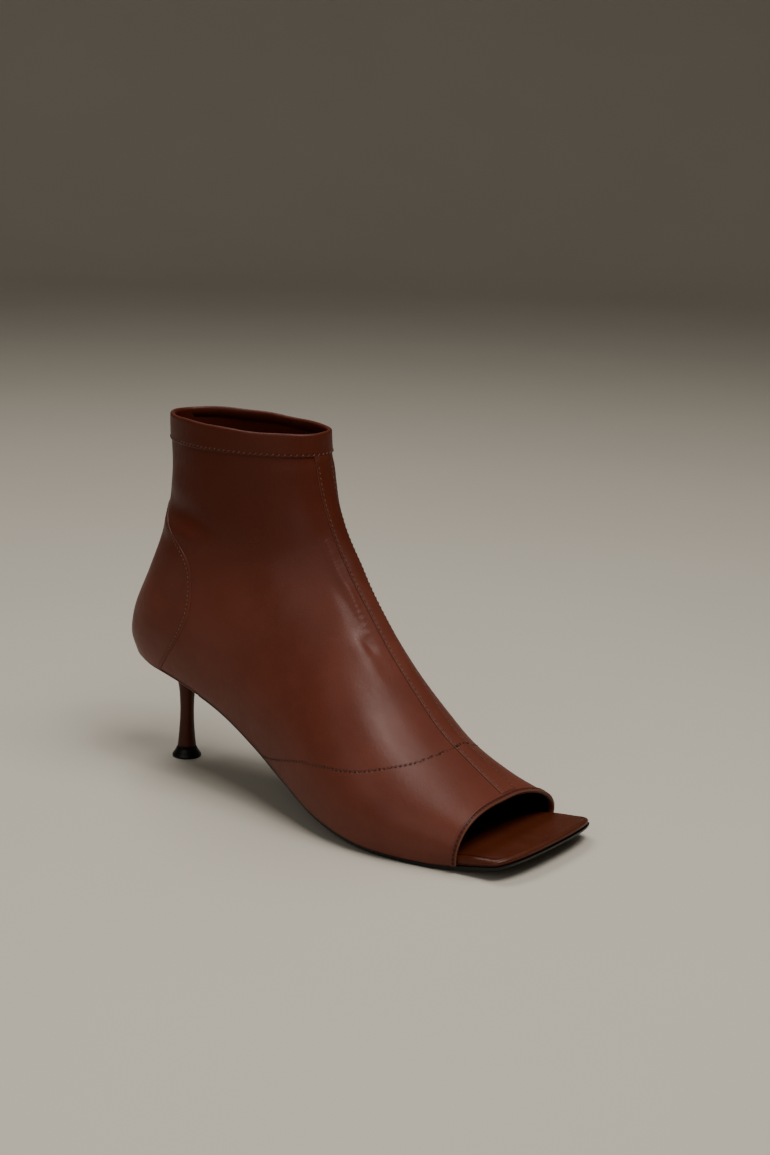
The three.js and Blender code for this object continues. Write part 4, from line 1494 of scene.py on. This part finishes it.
@dataclass
class Plate:
    """A thin plate along the seat line: footbed or outsole."""

    leather: Leather
    corner_steps: int = 44
    side_steps: int = 150

    def stations(self, end: float, inset: float) -> np.ndarray:
        """Places along the boot: round the toe corner, then back in even steps."""
        last = self.leather.last
        corner = last.length - last.toe_corner
        u = np.linspace(0.03, 1, self.corner_steps)
        warped = u**1.5 / (u**1.5 + (1 - u) ** 1.5)
        reach = np.cos(np.pi / 2 * warped) ** (2 / last.toe_power)
        nose = corner + (last.toe_corner - inset) * reach
        side = np.linspace(corner, end, self.side_steps)[1:]
        return np.concatenate([nose, side])

    def lidded(self, loops: list[np.ndarray], across: int = 24) -> Mesh:
        """Skins loops from the bottom up and closes both with a grid across.

        Args:
            loops: Loops of points, each with its outer half, from the front to the end,
                and then its inner half, in the same order.
            across: Columns of the grid that closes each end.

        Returns:
            The closed mesh.
        """
        stacked = np.stack(loops)
        levels, count = stacked.shape[:2]
        half = count // 2
        order = np.concatenate([np.arange(half), np.arange(count - 1, half - 1, -1)])
        ids = np.arange(levels * count).reshape(levels, count)
        ring = ids[:, order]
        ring = np.concatenate([ring, ring[:, :1]], axis=1)
        faces = [grid_quads(ring)]
        points = [stacked.reshape(-1, 3)]
        size = levels * count
        share = np.linspace(0, 1, across + 1)
        for level, turned in ((0, True), (levels - 1, False)):
            outer, inner = stacked[level, :half], stacked[level, half:]
            lid = outer[:, None] + (inner - outer)[:, None] * share[None, :, None]
            fresh = np.arange(half * (across - 1)).reshape(half, across - 1) + size
            points.append(lid[:, 1:-1].reshape(-1, 3))
            size += fresh.size
            net = np.concatenate([ids[level, :half, None], fresh, ids[level, half:, None]], axis=1)
            quads = grid_quads(net)
            faces.append(quads[:, ::-1] if turned else quads)
        return Mesh(np.concatenate(points), faces)


@dataclass
class Footbed(Plate):
    """Leather-covered footbed, which runs out past the opening as the toe platform."""

    wall: float = 2.0
    thickness: float = 5.0
    toe_thinning: float = 0.58
    rounding: float = 2.3
    bottom_round: float = 0.8
    front_inset: float = 1.0

    def inside(self, side: int) -> tuple[np.ndarray, np.ndarray]:
        """Places along the boot and half widths of the upper's inner face, near the seat."""
        last = self.leather.last
        s = np.concatenate(
            [np.linspace(0, last.turn - 1, 80), last.turn - np.linspace(1, 0.02, 40) ** 2]
        )
        t = np.tile(side * np.linspace(0.55, 1, 60), (len(s), 1))
        inner = last.surface(s, t) - last.outward(s, t) * self.wall
        height = inner[..., 2] - last.seat(inner[..., 0])
        low = np.clip((height > self.thickness * 0.6).sum(1), 0, t.shape[1] - 1)
        edge = inner[np.arange(len(s)), low]
        order = np.argsort(edge[:, 0])
        return edge[order, 0], side * edge[order, 1]

    def width(self, x: np.ndarray, side: int, inset: float) -> np.ndarray:
        """Half width of the footbed: within the upper, and ahead of it along the outline."""
        last = self.leather.last
        along, reach = self.inside(side)
        within = np.interp(x, along, reach) - inset
        ahead = last.half_width(np.maximum(x, along[-1]), side, self.front_inset + inset)
        mouth = float(last.half_width(along[-1], side, self.front_inset))
        ahead += (reach[-1] - mouth) * (1 - ease(x, along[-1], along[-1] + 8))
        return np.maximum(0, np.where(x < along[-1], within, ahead))

    def build(self) -> bpy.types.Object:
        """Makes the plate with its padded edge and softly uneven covering."""
        last = self.leather.last
        levels = [(0.0, self.bottom_round), (self.bottom_round, 0.0)]
        for angle in np.linspace(0, np.pi / 2, 9):
            drop = self.rounding * (1 - math.sin(angle))
            levels.append((self.thickness - drop, self.rounding * (1 - math.cos(angle))))
        loops = [self.loop(height, inset) for height, inset in levels]
        mesh = self.lidded(loops, across=60)
        top = mesh.points[:, 2] - last.seat(mesh.points[:, 0]) > 1.0
        x, y = mesh.points[:, 0], mesh.points[:, 1]
        soft = 0.08 * np.sin(x / 4.1 + 0.3 * y) * np.sin(y / 6.3 + 1.1)
        mesh.points[:, 2] += np.where(top, soft - 0.5 * (y / 34) ** 4, 0)
        # These colours are darker than the upper's: painted shade for the vamp's shadow over the platform.
        finish = LeatherFinish(
            "footbed_leather_painted_shade",
            colour=(0.074, 0.0155, 0.0056),
            shade=(0.060, 0.0120, 0.0042),
            rubbed=(0.096, 0.0225, 0.0090),
            roughness=0.40,
            coat=0.12,
        )
        return mesh.piece("footbed_leather_painted_shade", self.leather.shift, "footbed", [finish], "insole")

    def loop(self, height: float, inset: float) -> np.ndarray:
        """Outer and inner half of the outline at a height, drawn in by an inset."""
        last = self.leather.last
        x = self.stations(last.feather_back + self.wall + 1.5 + inset, inset + self.front_inset)
        thin = 1 - (1 - self.toe_thinning) * ease(x, last.upper_length, last.length)
        z = last.seat(x) + height * thin
        return both_sides(x, z, self.width(x, -1, inset), self.width(x, 1, inset))


@dataclass
class Outsole(Plate):
    """Thin black sole from the heel's breast to the toe."""

    start: float = 60.3
    inset: float = 0.4
    waist: float = 1.8
    toe: float = 1.3
    ball: float = 0.6
    gap: float = 0.08

    def thickness(self, x: np.ndarray) -> np.ndarray:
        """Thickness of the sole, thinner under the waist and at the toe."""
        last = self.leather.last
        full = last.sole_thickness
        waist = (full - self.waist) * (1 - ease(x, self.start, self.ball * last.length))
        toe = (full - self.toe) * ease(x, last.upper_length, last.length)
        return full - waist - toe

    def build(self) -> bpy.types.Object:
        """Makes the sole with rounded edges."""
        last = self.leather.last
        loops = []
        for share, inset in ((1.0, 1.6), (0.96, 1.0), (0.8, 0.45), (0.5, 0.15), (0.2, 0.0), (0.0, 0.0)):
            x = self.stations(self.start, self.inset + inset)
            z = last.seat(x) - self.gap - share * (self.thickness(x) + last.fit - self.gap)
            widths = [last.half_width(x, side, self.inset + inset) for side in (-1, 1)]
            loops.append(both_sides(x, z, *widths))
        finish = RubberFinish("sole_rubber")
        place = ("outsole_rubber", self.leather.shift, "sole")
        return self.lidded(loops).piece(*place, [finish], "outsole")


# Flare of the stem below the heel seat.
# radius: multiple of the stem's waist. drop: share of the flare's height.
FLARE = table(
    "radius drop",
    (1.0, 1.0),
    (1.08, 0.71),
    (1.28, 0.48),
    (1.68, 0.29),
    (2.1, 0.16),
    (3.0, 0.067),
    (4.2, 0.017),
)

# Rounded edge of the heel seat.
# inset: share of the seat's rounding. drop: share of its thickness.
SEAT_EDGE = table(
    "inset drop", (1.0, 1.0), (0.45, 0.85), (0.11, 0.5), (0.0, 0.12), (0.05, 0.0), (2.0, 0.0)
)

# Flared top piece.
# spread: from neck to foot. height: share of the tip's height.
TIP_PROFILE = table(
    "spread height",
    (0.5, 0.0),
    (0.93, 0.0),
    (0.99, 0.02),
    (1.0, 0.07),
    (0.97, 0.2),
    (0.62, 0.42),
    (0.3, 0.68),
    (0.0, 1.0),
)


@dataclass
class Heel:
    """Leather-covered seat and stem, and the black top piece under it."""

    leather: Leather
    centre: float = 30.5
    seat_length: float = 60.0
    seat_thickness: float = 2.6
    seat_round: float = 4.5
    waist: float = 3.45
    flare: float = 24.0
    tip_height: float = 5.5
    tip_foot: float = 7.25
    tip_neck: float = 4.65
    sole_inset: float = 0.5
    around: int = 96
    breast: int = 15

    def circle(self, radius: float) -> np.ndarray:
        """Ring round the stem's axis, from the front over the outer side."""
        angle = np.linspace(0, 2 * np.pi, self.around + 1)[:-1]
        x = self.centre + radius * np.cos(angle)
        return np.stack([x, -radius * np.sin(angle), 0 * x], axis=1)

    def seat_ring(self, inset: float) -> np.ndarray:
        """Ring of the heel seat, straight at the breast and round at the back."""
        last = self.leather.last
        drawn = self.sole_inset + inset
        front, back = self.seat_length - inset, last.feather_back + drawn
        share = np.linspace(0, 1, self.breast + 1)[:-1]
        left = np.linspace(1, 0, self.around // 2 - self.breast + 1) ** 1.6
        x = np.concatenate([np.full(len(share), front), back + (front - back) * left])
        share = np.concatenate([share, np.ones(len(left))])
        halves = [
            np.stack([x, side * share * last.half_width(x, side, drawn), 0 * x], axis=1)
            for side in (-1, 1)
        ]
        return np.concatenate([halves[0], halves[1][1:-1][::-1]])

    def stem(self) -> bpy.types.Object:
        """Carries rings from the tip's neck up to the seat, on a smooth curve."""
        last = self.leather.last
        under = last.seat(self.centre) - last.fit - self.seat_thickness
        foot = self.tip_height + 0.05
        low = under - self.flare
        rings = []
        for share in np.linspace(0, 1, 6)[:-1]:
            radius = self.waist + (self.tip_neck - self.waist) * (1 - share) ** 2
            ring = self.circle(radius)
            ring[:, 2] = foot + (low - foot) * share
            rings.append(ring)
        for k, (radius, drop) in enumerate(zip(FLARE["radius"], FLARE["drop"])):
            ring = self.circle(radius * self.waist)
            slope = last.seat(ring[:, 0]) - last.fit - self.seat_thickness - under
            ring[:, 2] = under - drop * self.flare + k / (len(FLARE["drop"]) - 1) * slope
            rings.append(ring)
        for inset, drop in zip(SEAT_EDGE["inset"], SEAT_EDGE["drop"]):
            ring = self.seat_ring(inset * self.seat_round)
            ring[:, 2] = last.seat(ring[:, 0]) - 0.1 - drop * (self.seat_thickness + 0.2)
            rings.append(ring)
        at = np.linspace(0, len(rings) - 1, 8 * (len(rings) - 1) + 1)
        points = spline(np.stack(rings).reshape(len(rings), -1), at).reshape(-1, self.around, 3)
        finish = LeatherFinish(
            "heel_leather",
            colour=(0.060, 0.0115, 0.0045),
            shade=(0.048, 0.0085, 0.0030),
        )
        place = ("heel_stem_leather", self.leather.shift, "heel_leather")
        return tube(points, closed_ends=True).piece(*place, [finish], "heel_stem")

    def tip(self) -> bpy.types.Object:
        """Turns the flared profile round the stem's axis."""
        rings = [self.circle(self.tip_foot * 0.4)]
        for spread, height in zip(TIP_PROFILE["spread"], TIP_PROFILE["height"]):
            ring = self.circle(self.tip_neck + (self.tip_foot - self.tip_neck) * spread)
            ring[:, 2] = height * self.tip_height
            rings.append(ring)
        finish = RubberFinish("tip_rubber", roughness=0.38)
        place = ("heel_tip_rubber", self.leather.shift, "tip")
        return tube(np.stack(rings), closed_ends=True).piece(*place, [finish], "heel_tip")


@dataclass
class Studio:
    """Camera at the photograph's place, pale floor and wall, and soft lights."""

    heel: np.ndarray
    azimuth: float = 36.7
    pitch: float = 13.8
    roll: float = -1.8
    stand: tuple[float, float, float] = (666.0, -730.7, 337.2)
    focal_pixels: float = 2050.0
    frame_pixels: float = 1155.0

    def camera(self) -> None:
        """Makes the camera, with its focal length as a share of the frame's long side."""
        data = bpy.data.cameras.new("camera")
        data.sensor_width = 36.0
        data.lens = self.focal_pixels / self.frame_pixels * data.sensor_width
        data.clip_start, data.clip_end = 0.05, 20.0
        around, down, roll = (math.radians(a) for a in (self.azimuth, self.pitch, self.roll))
        level = Vector((math.cos(around), math.sin(around), 0.0))
        ahead = Vector((-math.sin(around), math.cos(around), 0.0))
        forward = ahead * math.cos(down) - Vector((0.0, 0.0, math.sin(down)))
        up = level.cross(forward)
        right = level * math.cos(roll) - up * math.sin(roll)
        up = right.cross(forward)
        turn = Matrix((right, up, -forward)).transposed().to_4x4()
        place = Vector((self.heel + np.array(self.stand)) * MM)
        camera = placed("camera", data)
        camera.matrix_world = Matrix.Translation(place) @ turn
        bpy.context.scene.camera = camera

    def light(
        self,
        name: str,
        place: Colour,
        aim: Colour,
        size: tuple[float, float],
        power: float,
        spread: float,
    ) -> None:
        """Adds a soft rectangular light.

        Args:
            name: The light's name.
            place: Where it hangs, in metres.
            aim: The point that it faces.
            size: Its length and width.
            power: Its power in watts.
            spread: Angle over which it shines, in degrees.
        """
        data = bpy.data.lights.new(name, "AREA")
        data.shape = "RECTANGLE"
        data.size, data.size_y = size
        data.energy = power
        data.spread = math.radians(spread)
        data.color = (1.0, 0.96, 0.9)
        lamp = placed(name, data)
        lamp.location = place
        lamp.rotation_euler = (Vector(aim) - Vector(place)).to_track_quat("-Z", "Y").to_euler()

    def lights(self) -> None:
        """Ceiling light, a wide fill from the front and a weak sky."""
        self.light("ceiling", (0.55, -0.1, 1.4), (0.0, -0.02, 0.05), (1.0, 0.8), 9.6, 140.0)
        self.light("lamp", (0.55, -0.12, 1.4), (0.0, -0.02, 0.05), (0.16, 0.12), 1.0, 140.0)
        self.light("ceiling_back", (-0.7, 0.3, 1.5), (-0.05, 0.0, 0.1), (0.9, 0.6), 5.8, 140.0)
        self.light("front_fill", (0.3, -1.7, 0.9), (0.0, 0.0, 0.08), (1.8, 1.2), 5.2, 150.0)
        world = bpy.data.worlds.new("room")
        world.use_nodes = True
        sky = world.node_tree.nodes["Background"]
        sky.inputs["Color"].default_value = (1.0, 0.95, 0.88, 1.0)
        sky.inputs["Strength"].default_value = 0.14
        bpy.context.scene.world = world

    def room(self) -> None:
        """Round floor that sweeps up into a wall far away on every side."""
        floor, bend, top = 2.4, 0.9, 2.8
        arc = np.linspace(0, np.pi / 2, 14)
        out = np.concatenate([np.linspace(0, floor, 12), floor + bend * np.sin(arc[1:]), [floor + bend]])
        high = np.concatenate([np.zeros(12), bend * (1 - np.cos(arc[1:])), [top]])
        turn = np.linspace(0, 2 * np.pi, 97)[:-1]
        ground = out[:, None, None] * np.stack([np.cos(turn), np.sin(turn)], axis=1)
        points = np.dstack([ground, np.broadcast_to(high[:, None], ground.shape[:2])])
        ids = np.arange(points[..., 0].size).reshape(points.shape[:2])
        ids = np.concatenate([ids, ids[:, :1]], axis=1)[:, ::-1]
        mesh = bpy.data.meshes.new("room")
        mesh.from_pydata(points.reshape(-1, 3).tolist(), [], grid_quads(ids).tolist())
        mesh.shade_smooth()
        mesh.materials.append(PlasterFinish("plaster").material())
        placed("room", mesh)


def heel_shift(last: Last, centre: float) -> tuple[np.ndarray, np.ndarray]:
    """Finds how the frame lies against the last, from the heel tip's box.

    Args:
        last: The boot's last.
        centre: Place of the stem's axis on the last.

    Returns:
        The move from the last's millimetres to the frame's, and the tip's middle there.
    """
    low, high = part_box("heel_tip")
    middle = np.array([(low[0] + high[0]) / 2, (low[1] + high[1]) / 2, low[2]]) / MM
    return middle - np.array([centre, 0.0, 0.0]), middle


def main() -> None:
    """Builds the studio and every piece of the boot."""
    logging.basicConfig(level=logging.INFO, format="%(message)s")
    last = Last()
    shift, tip = heel_shift(last, Heel.centre)
    leather = Leather(last, shift)
    studio = Studio(tip)
    studio.camera()
    studio.lights()
    studio.room()
    upper = Upper(leather)
    strip = FrontStrip(leather)
    body = upper.build()
    upper.stitches(strip.width / 2, strip.lift + 0.12)
    strip.build(upper.raised_seam(strip.width / 2, strip.lift + 0.12))
    strip.stitches()
    collar = CollarBand(leather)
    collar.build()
    collar.stitches()
    toe = ToeBinding(leather)
    toe.build()
    toe.stitches()
    counter = HeelCounter(leather)
    counter.build(body)
    counter.stitches()
    Footbed(leather).build()
    Outsole(leather).build()
    heel = Heel(leather)
    heel.stem()
    heel.tip()
    log.info("all pieces are made")


if __name__ == "__main__":
    main()
